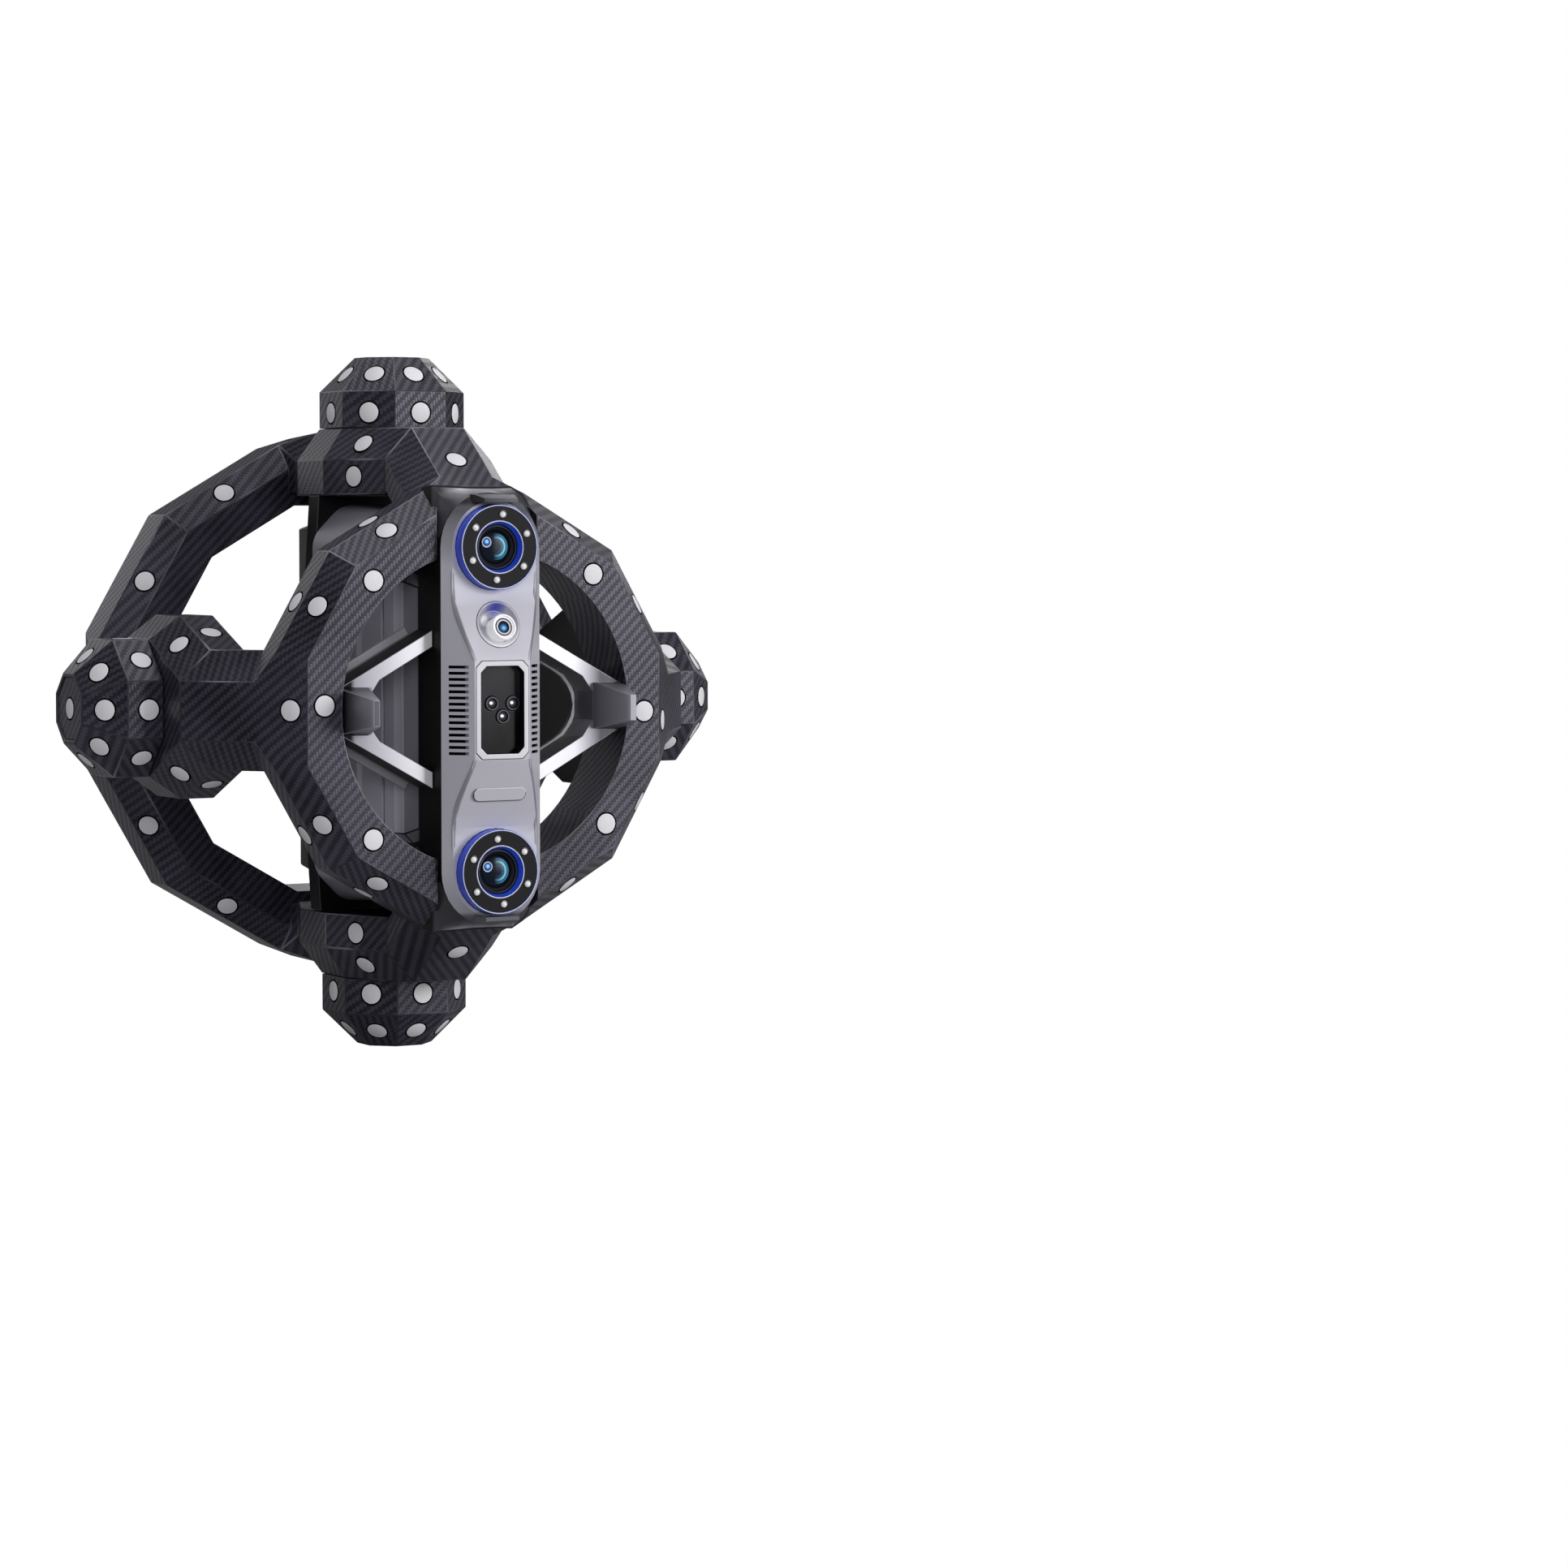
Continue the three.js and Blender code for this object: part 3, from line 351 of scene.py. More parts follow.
def bracket_front(name):
    """Satin metal of the struts with painted light and shade: bright by the head and dark by the posts."""
    g = Graph(name)
    t = g.along(X, 0, 1 / 0.15)
    slow = g.noise(12, 2)
    # the narrow strip between the struts belongs to the dark post and takes its painted shade
    strip = g.times(g.above(g.absolute(g.place()[X]), 0.0595), g.below(g.off_middle(), 0.0114))
    # painted shade: black with little gloss at the outer ends, brightening towards the head
    tone = g.ramp(t, (0.03, (0.002, 0.002, 0.003)), (0.045, (0.34, 0.335, 0.38)), (0.14, (0.55, 0.54, 0.6)),
                  (0.28, (0.92, 0.91, 0.95)), (0.7, (0.95, 0.94, 0.97)), (0.84, (0.8, 0.79, 0.84)),
                  (0.89, (0.4, 0.39, 0.44)), (0.935, (0.03, 0.03, 0.036)))
    g.set(Base_Color=g.mix(g.larger(strip, g.spread(slow, 0.0, 0.12)), tone, POST_GREY),
          Roughness=g.spread(slow, 0.26, 0.36), Metallic=0.2,
          Specular_IOR_Level=g.spread(g.rise(t, 0.03, 50), 0.02, 0.5))
    g.bump(g.noise(1, 2, (40, 900, 900)), 0.05, FINE_RELIEF)
    return g.mat


def bracket_side(name):
    """Black sides of the struts, with a thin grey band at the back."""
    g = Graph(name)
    slow = g.noise(40, 2)
    g.set(Base_Color=g.ramp(g.along(Y, -86, 1 / 0.02), (0.0, (0.012, 0.012, 0.015)),
                            (0.5, (0.004, 0.004, 0.005)), (0.54, (0.3, 0.295, 0.33)),
                            (0.9, (0.22, 0.216, 0.245))),
          Roughness=g.spread(slow, 0.4, 0.5), Metallic=0.0, Specular_IOR_Level=0.15)
    g.bump(g.noise(1500, 2), 0.08, FINE_RELIEF)
    return g.mat


def post_side(name, root, tip):
    """Dark satin metal with painted shade at the root, lighter towards the end of the post, and a painted
    highlight at the very end.
    """
    g = Graph(name)
    slow = g.noise(40, 2)
    # painted shade at the root and a painted highlight at the very end
    g.set(Base_Color=g.ramp(g.stir(g.along(Y, -117, -1 / 0.03), slow, 0.1), (0.0, shade(root, 0.6)),
                            (0.2, root), (0.9, tip), (1.0, shade(tip, 1.5))),
          Roughness=g.spread(slow, 0.3, 0.4), Metallic=0.3)
    g.bump(g.noise(1, 2, (900, 40, 900)), 0.06, FINE_RELIEF)
    return g.mat


def cap_paint(name):
    """Dark metallic end cap with a painted highlight along its light outer edge, and painted shade towards
    its sides.
    """
    g = Graph(name)
    slow = g.noise(60, 2)
    outwards = g.times(g.minus(g.off_middle(), 0.096), 1 / 0.0124)
    # painted highlight along the outer edge
    lit = g.ramp(g.stir(outwards, slow, 0.25), (0.0, CHARCOAL), (0.5, (0.06, 0.059, 0.07)),
                 (0.72, (0.14, 0.138, 0.16)), (0.92, (0.5, 0.49, 0.54)), (1.0, (0.58, 0.57, 0.62)))
    # painted shade towards the sides
    side = g.rise(g.absolute(g.place()[X]), 0.012, 90)
    g.set(Base_Color=g.mix(side, lit, (0.055, 0.054, 0.064)), Roughness=g.spread(slow, 0.3, 0.42),
          Metallic=0.3)
    g.bump(g.noise(1800, 2), 0.06, FINE_RELIEF)
    return g.mat


def edge_highlights(name):
    """Moulding edge with painted highlights: light in some places and dark in others, and lighter where it
    faces up.
    """
    g = Graph(name)
    patch = g.noise(22, 2)
    fine = g.noise(1800, 2)
    # facing up adds painted light
    value = g.stir(g.plus(patch, g.times(g.facing()[Z], 0.08)), fine, 0.2)
    g.set(Base_Color=g.ramp(value, (0.44, (0.02, 0.018, 0.027)), (0.54, (0.048, 0.046, 0.062)),
                            (0.66, (0.24, 0.23, 0.275))),
          Roughness=g.spread(fine, 0.32, 0.42), Metallic=0.0)
    g.bump(fine, 0.2, 0.0001)
    return g.mat


def head_paint(name, color, rim_shade, metal):
    """Paint of the head, with painted shade on its rims and dark tabs at both ends, which are painted lighter
    below and towards the right above.
    """
    g = Graph(name)
    _, ny, nz = g.facing()
    z = g.place()[Z]
    reach = g.off_middle()
    # painted shade: faces that look up are dimmer than those that look down
    looks_up = g.times(g.above(nz, 0.0), 0.35)
    fac = g.times(g.rise(g.absolute(nz), 0.2, 1.6), g.plus(looks_up, 0.65))
    # near the tabs the paint is dimmed too, as painted shade
    fac = g.larger(fac, g.rise(reach, 0.098, 260))
    # painted shade: the rim round the upper end is darker than the one below
    slant = g.times(g.above(ny, -0.93), g.below(ny, 0.93))
    upper = g.rise(z, (CENTRE.z + 70) * MM, 38)
    lower = g.rise(reach, 0.080, 16)
    fac = g.larger(fac, g.times(slant, g.larger(upper, lower)))
    tab = g.rise(reach, 0.0985, 450)
    slow = g.noise(8, 2)
    lines = g.noise(1, 3, FINE_Z)
    tone = g.ramp(slow, (0.3, shade(color, 0.93)), (0.7, shade(color, 1.05)))
    # the tabs are dark; the lower one is lighter than the upper, and the upper lighter towards its right, as
    # painted light
    upper_tab = g.mix(g.along(X, -4, 50), (0.035, 0.034, 0.04), (0.13, 0.128, 0.15))
    tab_tone = g.mix(g.above(z, MIDDLE), (0.14, 0.138, 0.162), upper_tab)
    g.set(Base_Color=g.mix(tab, g.mix(fac, tone, rim_shade), tab_tone), Roughness=g.spread(lines, 0.4, 0.52),
          Metallic=metal, Specular_IOR_Level=g.spread(tab, 0.4, 0.1))
    g.bump(lines, 0.06, FINE_RELIEF)
    return g.mat


def panel_shade(name):
    """Smoked window, a little lighter at its upper left."""
    g = Graph(name)
    t = g.plus(g.along(Z, 0, 0.5 / 0.042), g.times(g.along(X, 0, -1 / 0.05), 0.5))
    slow = g.noise(60, 2)
    g.set(Base_Color=g.ramp(g.plus(t, g.times(slow, 0.1)), (0.6, (0.003, 0.003, 0.004)),
                            (1.0, (0.03, 0.03, 0.034))),
          Roughness=g.spread(slow, 0.2, 0.3), Specular_IOR_Level=0.12)
    g.bump(g.noise(1500, 2), 0.03, 0.00002)
    return g.mat


def cup_metal(name):
    """Polished dish with painted light: a painted highlight at the left, painted light at the foot, and a
    painted reflection of the ring above it in blue.
    """
    g = Graph(name)
    x, _, z = g.place()
    wave = g.noise(150, 2)

    def blob(px, pz, reach_x, reach_z):
        """A soft oval patch about a place in millimetres."""
        dx = g.times(g.minus(x, px * MM), 1 / (reach_x * MM))
        dz = g.times(g.minus(z, (pz + CENTRE.z) * MM), 1 / (reach_z * MM))
        d = g.plus(g.times(dx, dx), g.times(dz, dz))
        return g.minus(1.0, g.stir(d, wave, 0.3), clamp=True)

    # painted light: bright at the foot, darker further up
    tone = g.ramp(g.along(Z, COLOUR_UP, 1 / 0.024), (0.0, (0.9, 0.9, 0.93)), (0.22, (0.6, 0.6, 0.65)),
                  (0.5, (0.36, 0.355, 0.4)), (1.0, (0.42, 0.42, 0.5)))
    # a painted highlight at the left
    tone = g.mix(blob(-5.9, 43.4, 2.9, 3.4), tone, (0.98, 0.98, 1.0))
    # a painted reflection of the blue ring above
    tone = g.mix(blob(0.2, 49.4, 6.0, 5.4), tone, (0.05, 0.06, 0.4))
    g.set(Base_Color=tone, Roughness=g.spread(wave, 0.3, 0.4), Metallic=0.1)
    return g.mat


carbon = carbon_twill("carbon_twill")
carbon_edge = edge_highlights("carbon_edge")
cowl = cowl_shading("cowl_shading")
strut_front = bracket_front("strut_front")
strut_side = bracket_side("strut_side")
strut_wall = grained("strut_wall", (0.06, 0.059, 0.07), 0.42, 0.2, grain=1500, deep=0.08)
strut_edge = grained("strut_edge", (0.36, 0.355, 0.4), 0.36, 0.1, grain=1500, deep=0.05)
# The left and right flanges and post tips are one metal: the right ones are painted lighter as painted light,
# the left ones darker as painted shade.
flange_left = brushed("flange_left", (0.5, 0.49, 0.54), 0.4, 0.1, FINE_Y)
lit_flange_right = brushed("lit_flange_right", (0.97, 0.965, 0.98), 0.4, 0.0, FINE_Y)
shaded_tip_left = brushed("shaded_tip_left", (0.09, 0.088, 0.105), 0.4, 0.2, FINE_X)
lit_tip_right = brushed("lit_tip_right", (0.42, 0.415, 0.46), 0.42, 0.1, FINE_X)
silver = head_paint("silver_paint", (0.58, 0.572, 0.64), (0.11, 0.108, 0.13), 0.15)
silver_edge = grained("silver_edge", (0.6, 0.595, 0.65), 0.38, 0.1, grain=1800, deep=0.05)
cap_grey = head_paint("cap_grey", (0.075, 0.073, 0.09), CHARCOAL, 0.3)
cap_skin = cap_paint("cap_skin")
shadow_seam = grained("seam_shadow", (0.004, 0.004, 0.005), 0.8, grain=1500, deep=0.1)
painted_glint_cup = cup_metal("cup_painted_glints")
panel_black = panel_shade("panel_black")
plate_black = grained("plate_black", (0.009, 0.0088, 0.011), 0.5, grain=1500, deep=0.1, vary=0.15,
                      Specular_IOR_Level=0.16)
plate_silver = brushed("plate_silver", (0.6, 0.59, 0.66), 0.45, 0.1, FINE_X)
strip_grey = brushed("strip_grey", (0.3, 0.294, 0.345), 0.42, 0.15, FINE_Z)
frame_silver = brushed("frame_silver", (0.68, 0.675, 0.72), 0.4, 0.15, FINE_X)
bright_edge = grained("bright_edge", (0.74, 0.735, 0.77), 0.38, 0.1, grain=1500, deep=0.03)
dark_satin = grained("dark_satin", (0.05, 0.048, 0.062), 0.36, 0.3, grain=1800, deep=0.12, vary=0.25)
black = grained("black_plastic", (0.005, 0.005, 0.0065), 0.5, grain=2200, deep=0.2, vary=0.2,
                Specular_IOR_Level=0.14)
black_gloss = grained("black_gloss", (0.005, 0.005, 0.007), 0.2, grain=900, deep=0.04, vary=0.2,
                      Specular_IOR_Level=0.4)
black_edge = grained("black_edge", (0.03, 0.03, 0.034), 0.36, grain=1800, deep=0.15)
grey = grained("grey_plastic", (0.07, 0.07, 0.08), 0.42, grain=2200, deep=0.25, vary=0.15)
rubber = grained("grip_rubber", (0.016, 0.016, 0.018), 0.62, grain=1100, deep=0.5, vary=0.25, size=0.0002)
blue = brushed("blue_anodised", (0.035, 0.1, 0.85), 0.3, 0.45, (500, 500, 500), Coat_Weight=0.15)
blue_edge = grained("blue_edge", (0.75, 0.78, 1.0), 0.4, grain=1500, deep=0.03)
dot_white = grained("marker_white", (0.88, 0.87, 0.9), 0.7, grain=5200, deep=0.08, vary=0.03,
                    Specular_IOR_Level=0.15)
dot_rim = grained("marker_rim", (0.0015, 0.0015, 0.002), 0.7, grain=3000, deep=0.1, Specular_IOR_Level=0.0)
# the white ring glows a little: painted light
glowing_ring_white = grained("glowing_ring_white", (0.95, 0.95, 0.96), 0.4, grain=1500, deep=0.03, vary=0.03,
                     Emission_Color=(0.9, 0.9, 0.93), Emission_Strength=0.2)
lamp_white = grained("lamp_lens", (0.97, 0.97, 0.98), 0.12, grain=900, deep=0.03, vary=0.03, Coat_Weight=0.6)
board = grained("circuit_board", (0.02, 0.12, 0.06), 0.45, grain=700, deep=0.2, vary=0.3)
steel = brushed("turned_steel", (0.55, 0.55, 0.56), 0.28, 0.95, (900, 20, 900))

# Meshes

# Points of a CAD mesh this close are one, in metres, and faces this close to flat are one, in degrees
WELD, FLAT = 4e-6, 0.8
# Edges up to this angle are shaded smooth on a refined piece, in degrees
REFINED_SMOOTH = 34.0
# How full a bevel's section is
BEVEL_SHAPE = 0.6


def put(obj, body, slot, *replaced):
    bpy.context.scene.collection.objects.link(obj)
    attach(obj, body)
    if replaced:
        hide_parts(*replaced)
    return obj


def finish_mesh(bm, name, mats, smooth=30.0, weighted=True):
    for f in bm.faces:
        f.smooth = True
    for e in bm.edges:
        e.smooth = len(e.link_faces) == 2 and e.calc_face_angle(0) < math.radians(smooth)
    mesh = bpy.data.meshes.new(name)
    bm.to_mesh(mesh)
    bm.free()
    # normals that came with the CAD mesh don't fit its bevelled copy
    old = mesh.attributes.get("custom_normal")
    if old:
        mesh.attributes.remove(old)
    for m in mats:
        mesh.materials.append(m)
    obj = bpy.data.objects.new(name, mesh)
    if weighted:
        w = obj.modifiers.new("even_shading", "WEIGHTED_NORMAL")
        w.keep_sharp = True
    return obj


def refine(node, mats, width=0.6, segments=2, angle=15.0, paint=None, only=None, slices=(), shape=None):
    """A copy of a CAD node with rounded edges, which take the second material."""
    bm = bmesh.new()
    bm.from_mesh(nodes[node].data)
    for f in bm.faces:
        f.material_index = 0
    bmesh.ops.remove_doubles(bm, verts=bm.verts, dist=WELD)
    bmesh.ops.dissolve_limit(bm, angle_limit=math.radians(FLAT), verts=bm.verts, edges=bm.edges)
    if shape:
        for v in bm.verts:
            v.co = shape(v.co.copy())
    for z in slices:
        bmesh.ops.bisect_plane(bm, geom=bm.verts[:] + bm.edges[:] + bm.faces[:], plane_co=at(0, 0, z),
                               plane_no=(0, 0, 1))
    if width:
        edges = [e for e in bm.edges
                 if len(e.link_faces) == 2 and e.calc_face_angle(0) > math.radians(angle)
                 and (only is None or only(e))]
        bmesh.ops.bevel(bm, geom=edges, offset=width * MM, offset_type="OFFSET", segments=segments,
                        profile=BEVEL_SHAPE, affect="EDGES", clamp_overlap=True, material=1)
    if paint:
        bm.normal_update()
        for f in bm.faces:
            f.material_index = paint(f)
    obj = finish_mesh(bm, node + "_fine", mats, REFINED_SMOOTH)
    return put(obj, body_of[node], slot_of[node], node)


def dome(radius, y, height, steps):
    """The profile of a rounded front, from its rim to its middle."""
    turns = [k * math.pi / (2 * steps) for k in range(steps + 1)]
    return [(radius * math.cos(t), y - height * math.sin(t)) for t in turns]


def lathe(name, profile, x, z, mats, slot="black", replaced=(), segments=64, stripes=None, bend=None):
    """A body turned about an axis along Y; the profile holds (radius, y) pairs and is open."""
    bm = bmesh.new()
    rings = []
    turns = [2 * math.pi * i / segments for i in range(segments)]
    for r, y in profile:
        if r < 1e-6:
            rings.append([bm.verts.new((0, y, 0))])
        else:
            rings.append([bm.verts.new((r * math.cos(t), y, r * math.sin(t))) for t in turns])
    for k, (a, b) in enumerate(zip(rings, rings[1:])):
        for i in range(segments):
            j = (i + 1) % segments
            corners = []
            for v in (a[i % len(a)], a[j % len(a)], b[j % len(b)], b[i % len(b)]):
                if v not in corners:
                    corners.append(v)
            bm.faces.new(corners).material_index = stripes[k] if stripes else 0
    bmesh.ops.recalc_face_normals(bm, faces=bm.faces)
    turn = bend or Matrix.Identity(4)
    for v in bm.verts:
        v.co = at(*((turn @ v.co) + Vector((x, 0, z))))
    return put(finish_mesh(bm, name, mats), "scanner", slot, *replaced)


# Cage

TURNS = {"top": 0, "right": 1, "bottom": 2, "left": 3}


def quarter(v, k):
    """Turns a vector about the Y axis from the upper arm to another one."""
    x, y, z = v
    for _ in range(k):
        x, z = z, -x
    return Vector((x, y, z))


CARBON = (carbon, carbon_edge)
refine("front_ring", CARBON, 0.6)
refine("back_ring", CARBON, 0.6)
for side, k in TURNS.items():
    out = quarter((0, 0, 1), k)
    refine(side + "_collar", CARBON + (black,), 0.6,
           paint=lambda f: 2 if f.normal.dot(out) < -0.9 else f.material_index)
    refine(side + "_knob", CARBON, 0.6)
    refine(side + "_knob_end", CARBON, 0.2)

# Markers: thin discs, white with a black rim

DOT_SIDES = 36
# Radius, foot and top over the face in millimetres, and material of the rim and of the white disc
DISCS = ((5.85, -0.2, 0.1, 1), (5.0, 0.0, 0.2, 0))
# How far the rounding of a disc's edge reaches down and in, in millimetres
EDGE_DOWN, EDGE_IN = 0.06, 0.12


def dots(name, names, places):
    """Discs that lie on the named CAD nodes, each at the face that its line meets."""
    bm = bmesh.new()
    turns = [2 * math.pi * i / DOT_SIDES for i in range(DOT_SIDES)]
    for point, normal in places:
        way = Vector(normal).normalized()
        found = hit(names, at(*point) + way * 0.015, -way)
        if not found:
            continue
        turn = Vector((0, 0, 1)).rotation_difference(found[1])
        for r, low, high, index in DISCS:
            rings = []
            for reach, h in ((r, low), (r, high - EDGE_DOWN), (r - EDGE_IN, high)):
                points = [Vector((reach * math.cos(t), reach * math.sin(t), h)) for t in turns]
                rings.append([bm.verts.new(found[0] + turn @ p * MM) for p in points])
            for a, b in zip(rings, rings[1:]):
                for i in range(DOT_SIDES):
                    j = (i + 1) % DOT_SIDES
                    bm.faces.new((a[i], a[j], b[j], b[i])).material_index = index
            bm.faces.new(rings[-1]).material_index = index
            bm.faces.new(list(reversed(rings[0]))).material_index = index
    return put(finish_mesh(bm, name, (dot_white, dot_rim), 40, False), "scanner", "carbon")


# The upper arm, in millimetres: where the markers lie on the knob's flats, slopes and end
FLAT_OUT, FLAT_UP = 33.8, 146.3
SLOPE_OUT, SLOPE_UP, SLOPE_NORMAL = 25.6, 165.8, (17.6, 16.4)
END_UP = 173.9
# The collar's top and its reach to the front and back
COLLAR_UP, COLLAR_REACH = 138.4, 53.3
# Corners of the collar's face beside the knob, where x and y are above zero: its upper and its lower edge
UPPER_EDGE = (Vector((FLAT_OUT, 14, COLLAR_UP)), Vector((14.4, COLLAR_REACH, COLLAR_UP)))
LOWER_EDGE = (Vector((45.2, 15.4, 122.4)), Vector((29.2, COLLAR_REACH, 122.4)))
LOW_MARKER_UP, LOW_NORMAL = 114, (37.9, 16)


def knob_places():
    out = []
    for i in range(8):
        c, s = math.cos(i * math.pi / 4), math.sin(i * math.pi / 4)
        out.append(((FLAT_OUT * c, FLAT_OUT * s, FLAT_UP), (c, s, 0)))
        out.append(((SLOPE_OUT * c, SLOPE_OUT * s, SLOPE_UP),
                    (c * SLOPE_NORMAL[0], s * SLOPE_NORMAL[0], SLOPE_NORMAL[1])))
    out.append(((0, 0, END_UP), (0, 0, 1)))
    return out


def collar_places():
    a, b = UPPER_EDGE
    c, d = LOWER_EDGE
    n1 = (b - a).cross(d - a).normalized()
    n2 = (d - a).cross(c - a).normalized()
    n = (n1 if n1.z > 0 else -n1) + (n2 if n2.z > 0 else -n2)
    high = a.lerp(d, 0.5) + n.normalized() * 0.1
    low = (c + d) / 2
    out = []
    for sx in (1, -1):
        for sy in (1, -1):
            out.append(((high.x * sx, high.y * sy, high.z), (n.x * sx, n.y * sy, n.z)))
            out.append(((low.x * sx, low.y * sy, LOW_MARKER_UP), (LOW_NORMAL[0] * sx, LOW_NORMAL[1] * sy, 0)))
    return out


def turned(places, k):
    return [(quarter(p, k), quarter(n, k)) for p, n in places]


# The upper and lower collar have no markers at the rear left, as the photograph shows
BARE = {"top": -1, "bottom": 1}
for side, k in TURNS.items():
    dots(side + "_knob_markers", (side + "_knob", side + "_knob_end"), turned(knob_places(), k))
    kept = [(p, n) for p, n in collar_places() if not (p[1] > 0 and p[0] * BARE.get(side, 0) > 0)]
    dots(side + "_collar_markers", (side + "_collar",), turned(kept, k))

# Sections of the rings' flats: radius and y of one edge, and radius and y of the other
FRONT_CHAMFER = (99, -107.9, 109.2, -92.3)
FRONT_SIDE = (109.2, -92.3, 109.2, -77)
BACK_CHAMFER = (122.5, 60, 134.4, 70)
BACK_SIDE = (134.4, 70, 134.4, 92)
BACK_REAR = (134.4, 92, 123, 104)
# A ring's flats lie nearer to the axis than its corners do, by this factor
C15 = math.cos(math.pi / 12)

# How steeply the arms come down from the collars to the rings, and where their markers lie
FRONT_FALL = (COLLAR_UP - FRONT_CHAMFER[0] * C15) / (-FRONT_CHAMFER[1] - COLLAR_REACH)
BACK_FALL = (COLLAR_UP - BACK_SIDE[2] * C15) / (BACK_SIDE[3] - COLLAR_REACH)
FRONT_ARM_MARKER = (0, -74, 122)
BACK_ARM_MARKER = (0, 68, COLLAR_UP - BACK_FALL * (68 - COLLAR_REACH))
ARM_MARKERS = [(FRONT_ARM_MARKER, (0, -FRONT_FALL, 1)), (BACK_ARM_MARKER, (0, BACK_FALL, 1))]
dots("arm_markers", ("front_ring", "back_ring"),
     [(quarter(p, k), quarter(n, k)) for p, n in ARM_MARKERS for k in (TURNS["top"], TURNS["bottom"])])


def ring_place(deg, section, share, along):
    """A place on a flat of a ring between two edges of its section, and the flat's normal."""
    r0, y0, r1, y1 = section
    t = math.radians(deg)
    c, s = math.cos(t), math.sin(t)
    r = (r0 + (r1 - r0) * share) * C15
    y = y0 + (y1 - y0) * share
    n = (abs(y1 - y0) * c, -(r1 - r0) * C15 * math.copysign(1, y1 - y0), abs(y1 - y0) * s)
    return ((r * c - along * s, y, r * s + along * c), n)


def ring_dots(name, ring, section, places, share=0.5):
    """Markers on a ring: each place is a direction in degrees and a way along its flat in millimetres."""
    dots(name, (ring,), [ring_place(deg, section, share, along) for deg, along in places])


dots("front_face_markers", ("front_ring",), [((x, FRONT_CHAMFER[1], z), (0, -1, 0)) for x, z in (
    (-60.9, 62.9), (58.4, 65.5), (-86.8, 3.2), (86.9, -3), (-61.6, -61.9), (65.4, -58.5))])
ring_dots("front_chamfer_markers", "front_ring", FRONT_CHAMFER, (
    (0, -8), (30, 0), (60, 0), (120, 0), (150, -0.5), (180, -1), (210, 4.7), (240, -6.5), (300, -3),
    (330, 2)))
ring_dots("front_side_markers", "front_ring", FRONT_SIDE, (
    (30, 0), (60, 3), (120, 0), (150, 0), (210, 8.6), (240, -4), (300, -3), (330, 0)))
ring_dots("back_front_markers", "back_ring", BACK_CHAMFER, (
    (30, 0), (60, 0), (120, 2.5), (150, 1), (210, 1.5), (240, -2), (300, 0), (330, 0)), 0.52)
ring_dots("back_side_markers", "back_ring", BACK_SIDE, [(deg, 0) for deg in (30, 60, 300, 330)], 0.55)
ring_dots("back_rear_markers", "back_ring", BACK_REAR, [(deg, 0) for deg in range(0, 360, 30)])

# Head

# How far above and below the middle the two cameras lie, and the round ends of the head about them
CAMERA_UP, END_RADIUS, END_FRONT = 79.0, 26.6, -111.1
# How far back the end caps reach
CAP_BACK = -89
# The cap's hollow face: share of the way from its outer to its inner edge, and how deep, in millimetres
HOLLOW = ((0.3, 1.0), (0.65, 0.9))
# The end cap's outer edge from left to right, with the direction where each point meets the round end
CAP_EDGE = ((-26.7, -103.5, 86, 172), (-26.7, -103, 92, 164), (-26.7, -102.4, 100, 152),
            (-26.7, -101.9, 108.2, 135), (-18, -101.9, 107.9, 120), (-6, -101.9, 107.5, 100),
            (6, -101.9, 107.5, 82), (16, -101.9, 107.9, 62), (22, -101.9, 104, 48), (26.7, -102.4, 97, 33),
            (26.7, -103, 88, 15))

refine("head_front_cover", (silver, silver_edge), 0.3, 2, 20, slices=(-62, -50, -42, 42, 50, 62))
refine("head_housing", (black, black_edge), 0.4)


def end_cap(end, s):
    """Hollow-faced cap between the head's round end and a square corner behind it."""
    bm = bmesh.new()
    grid = []
    for x, y, z, deg in CAP_EDGE:
        t = math.radians(deg)
        outer = Vector((x, y, z))
        inner = Vector((END_RADIUS * math.cos(t), END_FRONT, CAMERA_UP + END_RADIUS * math.sin(t)))
        lip = Vector((math.copysign(0.7, x) if abs(x) > 20 else 0, 0.2, 1.0 if z > 103 else 0))
        hollow = [outer.lerp(inner, share) + Vector((0, deep, 0)) for share, deep in HOLLOW]
        row = [Vector((x * 0.99, CAP_BACK, z - 0.3)), outer + lip, outer, *hollow, inner,
               Vector((inner.x, CAP_BACK, inner.z))]
        grid.append([bm.verts.new(at(v.x, v.y, s * v.z)) for v in row])
    for p, q in zip(grid, grid[1:]):
        for i in range(len(p) - 1):
            # the strips along the cap's outer edge are black: a painted shadow in the gap beyond it
            bm.faces.new((p[i], p[i + 1], q[i + 1], q[i])).material_index = 1 if i < 2 else 0
    bmesh.ops.recalc_face_normals(bm, faces=bm.faces)
    cap = finish_mesh(bm, end + "_end_cap_fine", (cap_skin, shadow_seam), 24, False)
    put(cap, "scanner", "silver", end + "_end_cap")


end_cap("upper", 1)
end_cap("lower", -1)

# A place in the window's opening
WINDOW = at(2, -120, 0)


def frame_paint(f):
    """The walls of the window frame that face its opening are black."""
    inwards = f.normal.dot(f.calc_center_median() - WINDOW) < 0
    return 2 if abs(f.normal.y) < 0.35 and inwards else f.material_index


def plate_paint(f):
    """The plate's bevels carry painted light: painted shade below and at the left, and painted highlights
    elsewhere.
    """
    if f.material_index == 0:
        return 0
    return 2 if f.normal.z < -0.2 or f.normal.x < -0.45 else 1


